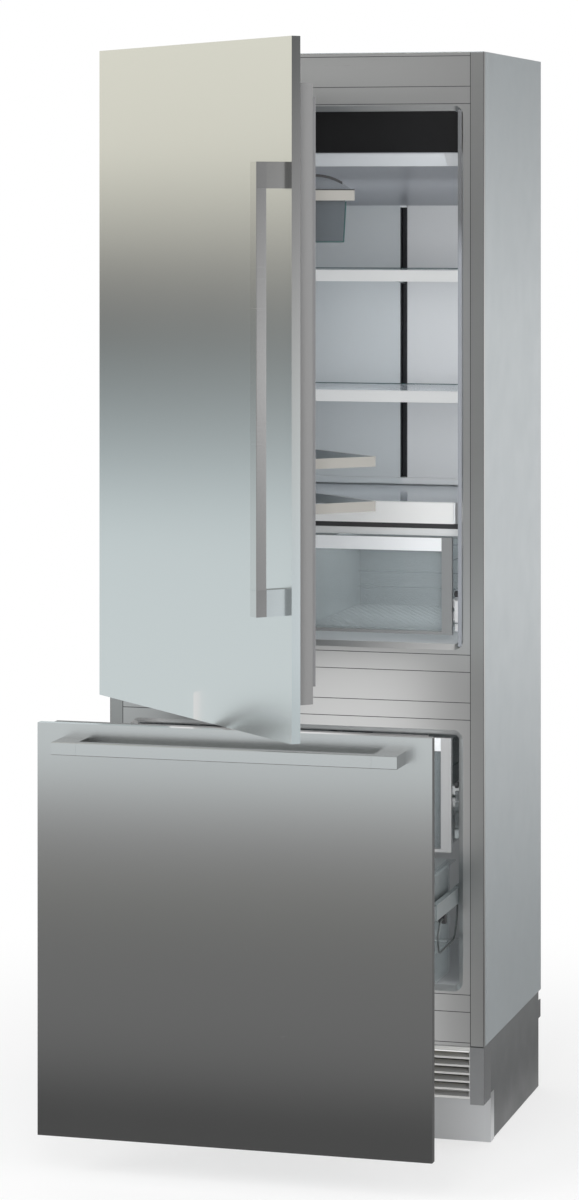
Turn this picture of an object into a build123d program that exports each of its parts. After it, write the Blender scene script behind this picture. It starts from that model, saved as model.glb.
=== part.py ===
"""Built-in bottom freezer refrigerator: hinged upper door, pull-out freezer drawer, working inner parts.

X is to the right, Y to the back and Z up, in millimetres. The cabinet is drawn with its front face on
y = 0, its middle on x = 0 and the floor on z = 0. The door and the drawer are drawn shut, then opened.
"""
from build123d import *
import os

# ---------------------------------------------------------------- cabinet
cabinet_width = 760.0
cabinet_height = 2124.4
cabinet_depth = 544.0
base_height = 199.4
sheet = 1.5
fit = 0.3                      # clearance of pieces that are set into each other
running = 0.3                  # clearance of pieces that slide on each other
seam = 0.9                     # visible joint between two face trims

column_width = 26.5
column_depth = 12.0
trim_sheet = 2.0
strip_height = 33.4            # narrow face trims above and below the openings
plate_height = 59.2            # wide face trims: header, mullion and lower plate
header_height = 100.6          # from the top of the fridge frame to the cabinet's top
frame_side_lip = 25.1          # from the face frame's edge to its opening
frame_lips = (19.4, 13.8)      # the same below and above the fridge opening
freezer_frame_lips = (16.0, 30.7)
half_width = cabinet_width / 2
face_half_width = half_width - column_width

# ---------------------------------------------------------------- compartments
rim_depth = 10.6               # bevelled rim around each opening, at 45 degrees
rim_radius = 9.4               # corner radius of the clear opening
opening_half_width = face_half_width - frame_side_lip
fridge_frame = (956.6, cabinet_height - header_height)
freezer_frame = (299.0, 830.7)
fridge_opening = (fridge_frame[0] + frame_lips[0], fridge_frame[1] - frame_lips[1])
freezer_opening = (freezer_frame[0] + freezer_frame_lips[0], freezer_frame[1] - freezer_frame_lips[1])
liner_wall = 2.0
liner_radius = 4.0             # inner corners of the liners, hidden behind the rims
back_foam = 44.0               # from the liner's back to the cabinet's back
liner_back = cabinet_depth - back_foam

control_panel_height = 80.2
control_panel_back = 20.0
cover_sheet = 2.0
back_duct = 32.0               # air duct behind the back wall
ceiling_drops = (82.0, 106.5, 184.0)  # ceiling below the opening: in front, behind the lamp, at the back
back_wall_front = liner_back - back_duct
ceiling_back_height = fridge_opening[1] - ceiling_drops[2]
diffuser_front = (25.0, fridge_opening[1] - ceiling_drops[0])
diffuser_back = (59.0, fridge_opening[1] - ceiling_drops[1])
diffuser_side_gap = 33.4
diffuser_half_width = opening_half_width - diffuser_side_gap
ledge_depth = 13.0
ledge_height = 13.0

shelf_rail_x = 106.0
shelf_rail_width = 14.0
shelf_rail_depth = 14.0
shelf_rail_wall = 2.5
shelf_rail_drop = 1.5          # below the ceiling
shelf_rail_top = ceiling_back_height - shelf_rail_drop
shelf_side_gap = 12.4
shelf_half_width = opening_half_width - shelf_side_gap
shelf_front = 150.0
shelf_back_gap = 5.0
shelf_back = back_wall_front - shelf_back_gap
shelf_trim_height = 22.5
shelf_trim_depth = 14.0
shelf_lip = 2.0
pane_thickness = 4.0
bracket_setback = 50.0
bracket_front = shelf_front + bracket_setback
bracket_sheet = 3.0
bracket_tall = 28.0
bracket_tip = 8.0

cover_top = 1249.0
cover_front = 15.0
cover_trim_height = 41.0
control_strip_height = 18.0
control_strip_drop = 47.0      # below the cover's top
control_strip = (cover_top - control_strip_drop - control_strip_height, cover_top - control_strip_drop)
control_strip_front = 22.0
upper_shelf_drop = 128.2       # below the ceiling
lower_shelf_drop = 15.4        # below the middle between the cover and the upper shelf
upper_shelf_top = ceiling_back_height - upper_shelf_drop
shelf_tops = (upper_shelf_top, (cover_top + upper_shelf_top) / 2 - lower_shelf_drop)
control_strip_depth = 28.0

# ---------------------------------------------------------------- inner drawers
drawer_front_depth = 12.0
drawer_front_side_band = 20.5
drawer_front_top_band = 26.0
drawer_front_bottom_band = 6.0
drawer_tub_wall = 2.5
drawer_tub_rise = 4.0          # tub floor above the lower edge of its front
drawer_tub_drop = 14.0         # tub rim below the upper edge of its front
crisper_front_y = 12.0
crisper_front_gaps = (17.0, 3.0)  # above the fridge opening's lower edge, below the control strip
crisper_front_z = (fridge_opening[0] + crisper_front_gaps[0], control_strip[0] - crisper_front_gaps[1])
crisper_side_gap = 14.4
crisper_tub_inset = 20.0
crisper_back_gap = 28.0
crisper_half_width = opening_half_width - crisper_side_gap
crisper_tub_half_width = crisper_half_width - crisper_tub_inset
crisper_tub_back = back_wall_front - crisper_back_gap
crisper_slide_rise = 47.0      # above the front's lower edge
crisper_slide_z = crisper_front_z[0] + crisper_slide_rise
tray_front_y = 10.0
tray_front_height = 222.0
tray_front_drop = 7.0          # below the freezer opening's upper edge
tray_front_top = freezer_opening[1] - tray_front_drop
tray_front_z = (tray_front_top - tray_front_height, tray_front_top)
tray_side_gap = 15.4
tray_tub_inset = 15.0
tray_half_width = opening_half_width - tray_side_gap
tray_tub_half_width = tray_half_width - tray_tub_inset
tray_slide_rise = 107.0
tray_slide_z = tray_front_z[0] + tray_slide_rise
freezer_duct = 60.0            # air duct behind the freezer's back wall
freezer_wall_front = liner_back - freezer_duct
tub_back_gap = 20.0
tray_tub_back = freezer_wall_front - tub_back_gap
slide_width = 20.0
slide_height = 40.0
slide_front = 26.0
slide_back_gap = 10.0
slide_length = freezer_wall_front - slide_back_gap - slide_front
slide_groove_height = 7.0
slide_groove_depth = 12.0
slide_fin_thickness = 4.0
slide_fin_gap = 2.4            # between the fin's edge and the bottom of its groove

# ---------------------------------------------------------------- freezer back
fan_radius = 58.0
fan_depth = 20.0
fan_hub_radius = 20.0
fan_blades = 7
fan_blade_sheet = 2.0
fan_blade_chord = 30.0
fan_blade_pitch = 32.0
fan_standoff = 2.0             # behind the wall or shroud it blows through
shaft_radius = 3.0
shaft_clearance = 0.08
evaporator_fan_drop = 100.0    # below the freezer opening's upper edge
evaporator_fan_z = freezer_opening[1] - evaporator_fan_drop
evaporator_side_gap = 68.4
evaporator_depth = 40.0
evaporator_height = 180.0
evaporator_rise = 35.0
coil_fins = 27
coil_rows = 4
coil_columns = 2
coil_fin_sheet = 1.2
coil_tube_radius = 4.0

# ---------------------------------------------------------------- base
toe_kick_setback = 62.6
toe_kick_height = 97.0
toe_kick_return = 30.0
floor_gap = 1.0
base_side_gap = 2.0            # under the base's side plates
bracket_width = 27.0
bracket_bottom = 87.4
grille_depth = 14.0
grille_slots = 6
grille_slot_height = 11.2
grille_pitch = 15.2
grille_top_slot = 184.4
grille_end_band = 2.0
louvre_angle = 25.0
base_sheet = 2.0
base_setback = 1.5             # base sides behind the cabinet sides
base_back_gap = 17.0
base_back = cabinet_depth - base_back_gap
pan_height = 20.0
foot_side_gap = 50.0
foot_end_gaps = (32.4, 27.0)   # behind the toe kick, before the base's back edge
foot_x = half_width - foot_side_gap
foot_ys = (toe_kick_setback + foot_end_gaps[0], base_back - foot_end_gaps[1])
foot_radius = 22.0
foot_thickness = 8.0
spindle_radius = 5.0
spindle_top = 45.0
nut_radius = 9.0
nut_height = 7.0
compressor_side_gap = 210.0
compressor_back_gap = 127.0
compressor_place = (compressor_side_gap - half_width, base_back - compressor_back_gap)
compressor_radius = 58.0
compressor_height = 118.0
compressor_dome = 30.0
compressor_plate = (210.0, 120.0, 3.0)
grommet_radius = 10.0
grommet_height = 10.0
discharge_radius = 4.0
discharge_reach = 80.0
discharge_spread = 24.0
discharge_height = 82.0        # above the compressor's grommets
condenser_side_gap = 180.0
condenser_depth = 40.0
condenser_height = 150.0
condenser_front = 105.0
shroud_front = 158.0
shroud_height = 160.0
shroud_half_width = 110.0
shroud_clearance = 4.0         # round the fan
condenser_fan_z = 102.0
motor_radius = 22.0
motor_depth = 24.0
motor_stand_width = 14.0
drip_tray_side_gap = 50.0
drip_tray_back_gap = 47.0
drip_tray_size = (270.0, 190.0)
drip_tray_x = (half_width - drip_tray_side_gap - drip_tray_size[0], half_width - drip_tray_side_gap)
drip_tray_y = (base_back - drip_tray_back_gap - drip_tray_size[1], base_back - drip_tray_back_gap)
drip_tray_height = 45.0
drip_tray_wall = 2.0
rear_bracket_z = (142.0, 178.0)
rear_bracket_reach = 21.0
rear_bracket_width = 40.0
inlet_side_gap = 80.0
inlet_x = inlet_side_gap - half_width
inlet_z = 243.0
inlet_size = (32.0, 28.0, 26.0)
inlet_recess = (24.0, 21.0, 17.0)
inlet_blade = (1.6, 12.0, 5.0)
inlet_blade_spread = 6.5

# ---------------------------------------------------------------- doors, drawn shut
panel_sheet = 1.2
panel_depth = 18.0
inner_depth = 38.0
gasket_depth = 10.0
gasket_width = 14.0
casing_inset = 20.0            # inner door inside the edge of its panel
casing_wall = 2.0
panel_lip = 5.0                # panel's back sheet reaches this far behind the casing
door_overlap_top = 7.0
door_gap = 3.0                 # between the door and the drawer panel
drawer_panel_z = (84.7, 858.0)
casing_overlaps = (30.1, 24.5) # inner door beyond the fridge frame, below and above
door_casing_z = (fridge_frame[0] - casing_overlaps[0], fridge_frame[1] + casing_overlaps[1])
drawer_casing_z = (268.0, 855.0)
door_open = 44.46              # degrees, as the door stands
drawer_out = 363.85            # as the drawer stands

hinge_pin_inset = 10.0         # from the panel's hinge-side edge
hinge_pin_radius = 4.0
hinge_clearance = 0.08
hinge_end_gaps = (34.0, 41.4)  # from the ends of the door panel
door_bottom = drawer_panel_z[1] + door_gap
door_top = cabinet_height + door_overlap_top
hinge_zs = (door_bottom + hinge_end_gaps[0], door_top - hinge_end_gaps[1])
hinge_arm_thickness = 8.0
hinge_arm_width = 8.0
hinge_eye_radius = 7.5
hinge_slot_gap = 2.0
hinge_slot_width = 20.0
hinge_foot = (25.0, 3.0, 50.0)
bush_height = 20.0
bush_width = 17.6

door_liner_gap = 14.0          # inside the fridge opening, above and below
door_liner_side_gap = 6.4
liner_half_width = opening_half_width - door_liner_side_gap
liner_z = (fridge_opening[0] + door_liner_gap, fridge_opening[1] - door_liner_gap)
liner_rise = 14.0
dyke_width = 22.0
dyke_depth = 16.0
dyke_end_gaps = (3.0, 96.0)    # above the crisper's cover, below the door liner's top
dyke_z = (cover_top + dyke_end_gaps[0], liner_z[1] - dyke_end_gaps[1])
tray_rim_side_gap = 26.5
tray_rim_half_width = liner_half_width - tray_rim_side_gap
rim_sheet = 2.0
rim_height = 18.7
rim_corner = 4.0
tray_rim_back = 6.0
tray_rim_front = 163.0
tray_rises = (10.8, 93.4)      # above the dykes' lower ends
tray_bottoms = [dyke_z[0] + rise for rise in tray_rises]
tray_wall = 2.5
dairy_rim_front = 118.0
dairy_rim_drop = 64.0          # below the dykes' upper ends
dairy_rim_bottom = dyke_z[1] - dairy_rim_drop
dairy_tub_height = 77.0
dairy_tub_inset = 11.5
dairy_tub_half_width = tray_rim_half_width - dairy_tub_inset
dairy_tub_front = 104.0
dairy_taper = 3.0
lid_rises = (41.0, 44.0, 21.0) # pivot, crown and edge above the rim's lower edge
lid_pivot = (13.0, dairy_rim_bottom + lid_rises[0])
lid_crown = (65.0, dairy_rim_bottom + lid_rises[1])
lid_edge = (115.0, dairy_rim_bottom + lid_rises[2])
lid_sheet = 2.0
lid_barrel_radius = 4.0
lid_ear_sheet = 3.0
lid_ear_width = 14.0
lid_pin_radius = 2.5

handle_reach = 66.0
handle_depth = 21.0
handle_width = 23.6
handle_block = 48.0
handle_edge_radius = 1.2
door_handle_end_gaps = (229.6, 225.8)
door_handle_z = (door_bottom + door_handle_end_gaps[0], door_top - door_handle_end_gaps[1])
door_handle_inset = 12.0
drawer_handle_end_gap = 50.0
drawer_handle_drop = 25.8      # below the drawer panel's upper edge
drawer_handle_half_length = half_width - drawer_handle_end_gap
drawer_handle_top = drawer_panel_z[1] - drawer_handle_drop
drawer_handle_z = (drawer_handle_top - handle_width, drawer_handle_top)

# ---------------------------------------------------------------- freezer drawer's tub and rails
rail_wall = 1.5
rail_member_width = 10.0
rail_height = 34.0
rail_back_gap = 6.0
rail_y = (14.0, freezer_wall_front - rail_back_gap)
tub_side_gap = 28.4
tub_half_width = opening_half_width - tub_side_gap
tub_floor_gap = 15.0           # above the freezer opening's lower edge
tub_height = 221.0
tub_bottom = freezer_opening[0] + tub_floor_gap
tub_z = (tub_bottom, tub_bottom + tub_height)
tub_y = (-8.0, freezer_wall_front - tub_back_gap)
rail_drop = 63.0               # below the tub's rim
rail_z = tub_z[1] - rail_drop
tub_wall = 3.0
tub_flange = 12.0
carrier_sheet = 2.5
carrier_gap = 4.0
carrier_front = 40.0
carrier_back_gap = 40.0
carrier_y = (carrier_front, tub_y[1] - carrier_back_gap)


# ================================================================ helpers
def both(half):
    """Limits the same distance either side of zero."""
    return (-half, half)


def span(middle, length):
    """Limits of a length about its middle."""
    return (middle - length / 2, middle + length / 2)


def inset(limits, low, high=None):
    """Limits taken in at the low and the high end."""
    return (limits[0] + low, limits[1] - (low if high is None else high))


def size(limits):
    return limits[1] - limits[0]


def middle(limits):
    return sum(limits) / 2


def spread(limits, count):
    """Middles of equal cells between limits."""
    return [limits[0] + size(limits) * (n + 0.5) / count for n in range(count)]


def block(x, y, z):
    """A box between limits."""
    return Pos(middle(x), middle(y), middle(z)) * Box(size(x), size(y), size(z))


def hollow(x, y, z, walls_x, walls_y, walls_z):
    """A box with a cavity; a wall of 0 leaves that side open."""
    return block(x, y, z) - block(inset(x, *walls_x), inset(y, *walls_y), inset(z, *walls_z))


def facing(x, y, z):
    """A plane across Y at the middle of the limits x and z, facing +Y."""
    return Plane(origin=(middle(x), y, middle(z)), x_dir=(1, 0, 0), z_dir=(0, 1, 0))


def rounded_face(x, y, z, radius):
    """A rectangle across Y with rounded corners."""
    return facing(x, y, z) * RectangleRounded(size(x), size(z), radius)


def rounded(x, y, z, radius):
    """A box whose four edges along Y are rounded."""
    return extrude(rounded_face(x, y[0], z, radius), amount=size(y))


def side_profile(points, x):
    """A closed outline of (y, z) points, drawn out along the limits x."""
    outline = Polyline([(x[0], y, z) for y, z in points], close=True)
    return extrude(make_face(outline), amount=size(x), dir=(1, 0, 0))


def moved(points, dy, dz):
    return [(y + dy, z + dz) for y, z in points]


def rod(radius, start, end):
    """A round bar between two points."""
    path = Vector(*end) - Vector(*start)
    return extrude(Plane(origin=start, z_dir=path) * Circle(radius), amount=path.length)


def pair(shape):
    """A shape and its mirror image across the middle of the cabinet."""
    return [shape, mirror(shape, about=Plane.YZ)]


# ================================================================ cabinet
inner_half_width = half_width - sheet
wrap_top = cabinet_height - sheet
cabinet_z = (base_height, wrap_top)
liner_y = (rim_depth, liner_back)


def outer_wrap():
    wrap = block(both(half_width), (0, cabinet_depth), (base_height, cabinet_height))
    wrap -= block(both(inner_half_width), (0, cabinet_depth), cabinet_z)
    for column_corner in pair(block((inner_half_width, half_width), (0, column_depth), cabinet_z)):
        wrap -= column_corner
    return wrap


def column():
    x = (face_half_width, half_width)
    return hollow(x, (0, column_depth), cabinet_z, (sheet, sheet), (sheet, 0), (0, 0))


def opening_rim(frame_z, opening_z):
    """A face frame with its bevelled rim around a compartment's mouth."""
    frame = block(both(face_half_width), (0, rim_depth), inset(frame_z, seam / 2))
    outer_x = both(opening_half_width + rim_depth)
    outer_z = inset(opening_z, -rim_depth)
    mouth = rounded_face(outer_x, 0, outer_z, rim_radius + rim_depth)
    throat = rounded_face(both(opening_half_width), rim_depth, opening_z, rim_radius)
    return frame - loft([mouth, throat], ruled=True)


def face_plate(z):
    return block(both(face_half_width - seam / 2), (0, trim_sheet), inset(z, seam / 2))


def stacked(bottom, heights):
    """Limits of trims that stand on each other."""
    levels = []
    for height in heights:
        levels.append((bottom, bottom + height))
        bottom += height
    return levels


def face_trims():
    below = stacked(freezer_frame[0] - strip_height - plate_height, [plate_height, strip_height])
    between = stacked(freezer_frame[1], [strip_height])
    between += [(freezer_frame[1] + strip_height, fridge_frame[0] - strip_height)]
    between += [(fridge_frame[0] - strip_height, fridge_frame[0])]
    above = stacked(fridge_frame[1], [strip_height, plate_height])
    ends = [(base_height, below[0][0]), (above[-1][1], wrap_top)]
    plates = [face_plate(z) for z in below + between + above + ends]
    return plates + [opening_rim(fridge_frame, fridge_opening), opening_rim(freezer_frame, freezer_opening)]


def liner(opening_z):
    outer_x = both(opening_half_width + liner_wall)
    shell = rounded(outer_x, liner_y, inset(opening_z, -liner_wall), liner_radius + liner_wall)
    return shell - rounded(both(opening_half_width), inset(liner_y, 0, liner_wall), opening_z, liner_radius)


def inlet_limits():
    width, depth, height = inlet_size
    return (span(inlet_x, width), (cabinet_depth - depth, cabinet_depth), span(inlet_z, height))


def insulation():
    foam = block(both(inner_half_width), (trim_sheet, cabinet_depth - sheet), cabinet_z)
    for column_space in pair(block((face_half_width, half_width), (0, column_depth), cabinet_z)):
        foam -= column_space
    for frame_z, opening_z in ((fridge_frame, fridge_opening), (freezer_frame, freezer_opening)):
        foam -= block(both(face_half_width), (0, rim_depth), frame_z)
        foam -= block(both(opening_half_width + liner_wall), liner_y, inset(opening_z, -liner_wall))
    return foam - block(*inlet_limits())


def back_panel():
    panel = block(both(inner_half_width), (cabinet_depth - sheet, cabinet_depth), cabinet_z)
    return panel - block(*inlet_limits())


def power_inlet():
    x, y, z = inlet_limits()
    recess_x, recess_depth, recess_z = inlet_recess
    recess = block(span(inlet_x, recess_x), (y[1] - recess_depth, y[1]), span(inlet_z, recess_z))
    socket = block(x, y, z) - recess
    blade_y = (y[1] - recess_depth, y[1] - recess_depth + inlet_blade[1])
    for dx, dz in ((-inlet_blade_spread, 0), (0, inlet_blade_spread / 2), (inlet_blade_spread, 0)):
        socket += block(span(inlet_x + dx, inlet_blade[0]), blade_y, span(inlet_z + dz, inlet_blade[2]))
    return socket


# ================================================================ fridge compartment
inside_x = both(opening_half_width - fit)


def control_panel():
    z = (fridge_opening[1] - fit - control_panel_height, fridge_opening[1] - fit)
    panel = block(inside_x, (rim_depth + fit, control_panel_back), z)
    return fillet(panel.edges().filter_by(Axis.Y).group_by(Axis.Z)[-1], rim_radius - fit)


def liner_mouth(opening_z):
    """The space inside a liner, for the pieces that fill it from side to side."""
    return rounded(inside_x, liner_y, inset(opening_z, fit), rim_radius - fit)


def diffuser_line():
    return [diffuser_front, diffuser_back]


def duct_cover():
    """Ceiling and back wall in one folded sheet, with a ledge behind the crisper's cover."""
    front = (control_panel_back + fit, fridge_opening[1] - control_panel_height - fit)
    line = [front] + diffuser_line()
    line += [(back_wall_front, ceiling_back_height), (back_wall_front, fridge_opening[0] + fit)]
    cover = side_profile(line + moved(line, cover_sheet, cover_sheet)[::-1], inside_x)
    ledge_z = (cover_top + fit, cover_top + ledge_height)
    cover += block(inside_x, (back_wall_front - ledge_depth, back_wall_front), ledge_z)
    lamp_y = (diffuser_front[0], diffuser_back[0])
    cover -= block(both(diffuser_half_width), lamp_y, (ceiling_back_height, fridge_opening[1]))
    for slot in pair(rail_slot()):
        cover -= slot
    return cover & liner_mouth(fridge_opening)


def rail_slot():
    y = (back_wall_front - fit, back_wall_front + cover_sheet + fit)
    z = (cover_top + ledge_height, shelf_rail_top + fit)
    return block(span(shelf_rail_x, shelf_rail_width + 2 * fit), y, z)


def light_diffuser():
    low, high = diffuser_line()
    start = (low[0] + fit, low[1] - fit)
    end = (high[0] - fit, high[1] + fit)
    line = [start, end]
    lamp = side_profile(line + moved(line, cover_sheet, cover_sheet)[::-1], both(diffuser_half_width - fit))
    return lamp & block(inside_x, (start[0], end[0]), fridge_opening)


def shelf_rail():
    y = (back_wall_front - cover_sheet, back_wall_front - cover_sheet + shelf_rail_depth)
    z = (cover_top + ledge_height + fit, shelf_rail_top)
    walls = (shelf_rail_wall, shelf_rail_wall)
    return hollow(span(shelf_rail_x, shelf_rail_width), y, z, walls, (0, shelf_rail_wall), (0, 0))


def pane_z(top):
    return (top - shelf_lip - pane_thickness, top - shelf_lip)


def shelf_trim(top, height, front):
    trim = block(both(shelf_half_width), (front, front + shelf_trim_depth), (top - height, top))
    seat = (front + shelf_trim_depth / 2, front + shelf_trim_depth)
    return trim - block(both(shelf_half_width), seat, pane_z(top))


def pane(top, front, back, half):
    return block(both(half), (front + shelf_trim_depth / 2, back), pane_z(top))


def shelf_panes():
    panes = [pane(top, shelf_front, shelf_back, shelf_half_width) for top in shelf_tops]
    cover_back = back_wall_front - fit
    return panes + [pane(cover_top, cover_front, cover_back, opening_half_width - fit)]


def shelf_trims():
    trims = [shelf_trim(top, shelf_trim_height, shelf_front) for top in shelf_tops]
    return trims + [shelf_trim(cover_top, cover_trim_height, cover_front)]


def shelf_bracket(top, x):
    """A cantilever arm under the pane, hooked into its rail."""
    bottom = pane_z(top)[0]
    web = back_wall_front - cover_sheet + shelf_rail_depth - shelf_rail_wall
    outline = [(bracket_front, bottom), (web - fit, bottom), (web - fit, bottom - bracket_tall)]
    outline += [(bracket_front, bottom - bracket_tip)]
    return side_profile(outline, span(x, bracket_sheet))


def control_strip_bar():
    y = (control_strip_front, control_strip_front + control_strip_depth)
    return block(inside_x, y, control_strip)


# ================================================================ inner drawers
def drawer_front(half, front_y, z):
    """A framed drawer front with a window and a rebate behind it for the pane."""
    y = (front_y, front_y + drawer_front_depth)
    frame = block(both(half), y, z)
    window_x = both(half - drawer_front_side_band)
    window_z = inset(z, drawer_front_bottom_band, drawer_front_top_band)
    frame -= block(window_x, y, window_z)
    return frame - front_pane(half, front_y, z, 0)


def front_pane(half, front_y, z, gap=fit):
    """The pane in the rebate of a drawer front."""
    y = (front_y + drawer_front_depth - pane_thickness, front_y + drawer_front_depth)
    x = both(half - drawer_front_side_band + pane_thickness - gap)
    window_z = inset(z, drawer_front_bottom_band - pane_thickness, drawer_front_top_band - pane_thickness)
    return block(x, y, inset(window_z, gap))


def drawer_tub(half, front_y, back, front_z, slide_z):
    """An open tub with a fin along each side that runs in the slides."""
    y = (front_y + drawer_front_depth, back)
    z = inset(front_z, drawer_tub_rise, drawer_tub_drop)
    walls = (drawer_tub_wall, drawer_tub_wall)
    tub = hollow(both(half), y, z, walls, walls, (drawer_tub_wall, 0))
    fin_x = (half, opening_half_width - slide_width + slide_groove_depth - slide_fin_gap)
    fin_bottom = slide_z - slide_groove_height / 2 + running
    fin_z = (fin_bottom, fin_bottom + slide_fin_thickness)
    fin_y = (slide_front + drawer_front_depth, min(back, slide_front + slide_length))
    for fin in pair(block(fin_x, fin_y, fin_z)):
        tub += fin
    return tub


def drawer_slide(slide_z):
    x = (opening_half_width - slide_width, opening_half_width)
    y = (slide_front, slide_front + slide_length)
    slide = block(x, y, span(slide_z, slide_height))
    groove_x = (x[0], x[0] + slide_groove_depth)
    return slide - block(groove_x, y, span(slide_z, slide_groove_height))


# ================================================================ cold and warm side machinery
def fan(place, radius):
    """A bladed wheel on a shaft along Y."""
    x, y, z = place
    hub = Cylinder(fan_hub_radius, fan_depth)
    blade_length = radius - fan_hub_radius + shaft_radius
    for n in range(fan_blades):
        blade = Box(blade_length, fan_blade_chord, fan_blade_sheet)
        along = Pos(fan_hub_radius - shaft_radius + blade_length / 2, 0, 0)
        hub += Rot(Z=360 / fan_blades * n) * along * Rot(X=fan_blade_pitch) * blade
    hub &= Cylinder(radius, fan_depth)
    hub -= Cylinder(shaft_radius + shaft_clearance, fan_depth)
    return Pos(x, y, z) * Rot(X=90) * hub


def motor(place, length, back):
    """A motor can with the shaft that carries a fan; place is the fan's middle."""
    x, y, z = place
    can = rod(motor_radius, (x, y + fan_depth / 2 + running, z), (x, back, z))
    return can + rod(shaft_radius, (x, y - fan_depth / 2, z), (x, back, z))


def finned_coil(x, y, z):
    """Fins across the width on tubes that run through them."""
    middles = inset(x, coil_fin_sheet / 2)
    fin_step = size(middles) / (coil_fins - 1)
    coil = [block(span(middles[0] + n * fin_step, coil_fin_sheet), y, z) for n in range(coil_fins)]
    for level in spread(z, coil_rows):
        for at in spread(y, coil_columns):
            coil.append(rod(coil_tube_radius, (x[0], at, level), (x[1], at, level)))
    return Part() + coil


fan_middle = fan_standoff + fan_depth / 2
evaporator_fan_place = (0.0, freezer_wall_front + cover_sheet + fan_middle, evaporator_fan_z)
condenser_fan_place = (0.0, shroud_front + base_sheet + fan_middle, condenser_fan_z)
pan_top = pan_height + base_sheet


def evaporator():
    """The finned coil on the liner's back, and the motor of its fan."""
    back = liner_back - liner_wall
    bottom = freezer_opening[0] + evaporator_rise
    z = (bottom, bottom + evaporator_height)
    coil = finned_coil(both(opening_half_width - evaporator_side_gap), (back - evaporator_depth, back), z)
    return [coil, motor(evaporator_fan_place, motor_depth, back)]


def freezer_wall():
    y = (freezer_wall_front, freezer_wall_front + cover_sheet)
    wall = block(inside_x, y, inset(freezer_opening, fit)) & liner_mouth(freezer_opening)
    x, _, z = evaporator_fan_place
    return wall - rod(fan_radius, (x, y[0], z), (x, y[1], z))


def condenser():
    """The finned coil, its shroud, and the fan's motor on a stand."""
    coil_y = (condenser_front, condenser_front + condenser_depth)
    coil_x = both(half_width - condenser_side_gap)
    coil = finned_coil(coil_x, coil_y, (pan_top, pan_top + condenser_height))
    x, y, z = condenser_fan_place
    plate_y = (shroud_front, shroud_front + base_sheet)
    shroud = block(both(shroud_half_width), plate_y, (pan_top, pan_top + shroud_height))
    shroud -= rod(fan_radius + shroud_clearance, (x, plate_y[0], z), (x, plate_y[1], z))
    back = y + fan_depth / 2 + running + motor_depth
    stand = block(span(x, motor_stand_width), (back - motor_depth, back), (pan_top, z - motor_radius / 2))
    return [coil, shroud, motor(condenser_fan_place, motor_depth, back) + stand]


def compressor():
    """A domed steel pot on a foot plate with rubber grommets, with its two pipe stubs."""
    x, y = compressor_place
    width, depth, thick = compressor_plate
    floor = pan_top + grommet_height
    pot = rod(compressor_radius, (x, y, floor + thick), (x, y, floor + thick + compressor_height))
    pot = fillet(pot.edges().filter_by(GeomType.CIRCLE).group_by(Axis.Z)[-1], compressor_dome)
    pot += block(span(x, width), span(y, depth), (floor, floor + thick))
    for dx in both(width / 2 - grommet_radius):
        for dy in both(depth / 2 - grommet_radius):
            pot += rod(grommet_radius, (x + dx, y + dy, pan_top), (x + dx, y + dy, floor))
    stub = floor + discharge_height
    for turn in both(discharge_spread):
        pot += rod(discharge_radius, (x, y + turn, stub), (x + discharge_reach, y + turn, stub))
    return pot


def drip_tray():
    walls = (drip_tray_wall, drip_tray_wall)
    z = (pan_top, pan_top + drip_tray_height)
    return hollow(drip_tray_x, drip_tray_y, z, walls, walls, (drip_tray_wall, 0))


# ================================================================ base
base_half_width = half_width - base_setback
toe_kick_y = (toe_kick_setback, toe_kick_setback + sheet)


def base_frame():
    """A pan between two side plates."""
    y = (toe_kick_y[1], base_back)
    frame = block(both(base_half_width), y, (pan_height, pan_top))
    side_x = (base_half_width - base_sheet, base_half_width)
    for side in pair(block(side_x, y, (base_side_gap, base_height))):
        frame += side
    for x in both(foot_x):
        for y_foot in foot_ys:
            frame -= rod(spindle_radius + fit, (x, y_foot, pan_height), (x, y_foot, pan_top))
    return frame


def toe_kick():
    z = (floor_gap, toe_kick_height)
    kick = block(both(half_width), toe_kick_y, z)
    return_y = (toe_kick_y[0], toe_kick_y[0] + toe_kick_return)
    for end in pair(block((base_half_width, half_width), return_y, z)):
        kick += end
    return kick


def corner_bracket():
    x = (half_width - bracket_width, half_width)
    return hollow(x, (0, toe_kick_setback), (bracket_bottom, base_height), (0, sheet), (sheet, 0), (0, 0))


def vent_grille():
    """A plate with slots, and a sloping louvre behind each slot between two cheeks."""
    half = half_width - bracket_width - fit
    z = (toe_kick_height, base_height)
    grille = block(both(half), (0, trim_sheet), z)
    slot_x = both(half - grille_end_band)
    louvre = Box(size(slot_x), grille_depth, sheet)
    for n in range(grille_slots):
        level = grille_top_slot - n * grille_pitch
        grille -= block(slot_x, (0, trim_sheet), span(level, grille_slot_height))
        lower_edge = Pos(0, trim_sheet / 2, level - grille_slot_height / 2)
        grille += lower_edge * Rot(X=louvre_angle) * Pos(0, grille_depth / 2, -sheet / 2) * louvre
    for cheek in pair(block((slot_x[1], slot_x[1] + sheet), (trim_sheet, grille_depth), inset(z, sheet))):
        grille += cheek
    return grille & block(both(half), (0, grille_depth), z)


def levelling_foot(x, y):
    foot = rod(foot_radius, (x, y, 0), (x, y, foot_thickness))
    foot += rod(spindle_radius, (x, y, 0), (x, y, spindle_top))
    nut = Plane(origin=(x, y, pan_height - fit - nut_height)) * RegularPolygon(nut_radius, 6)
    return foot + extrude(nut, amount=nut_height)


def rear_bracket():
    x = (base_half_width - rear_bracket_width, base_half_width)
    plate = block(x, (base_back, base_back + base_sheet), rear_bracket_z)
    prong = block((x[1] - base_sheet, x[1]), (base_back, base_back + rear_bracket_reach), rear_bracket_z)
    return plate + prong


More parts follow.
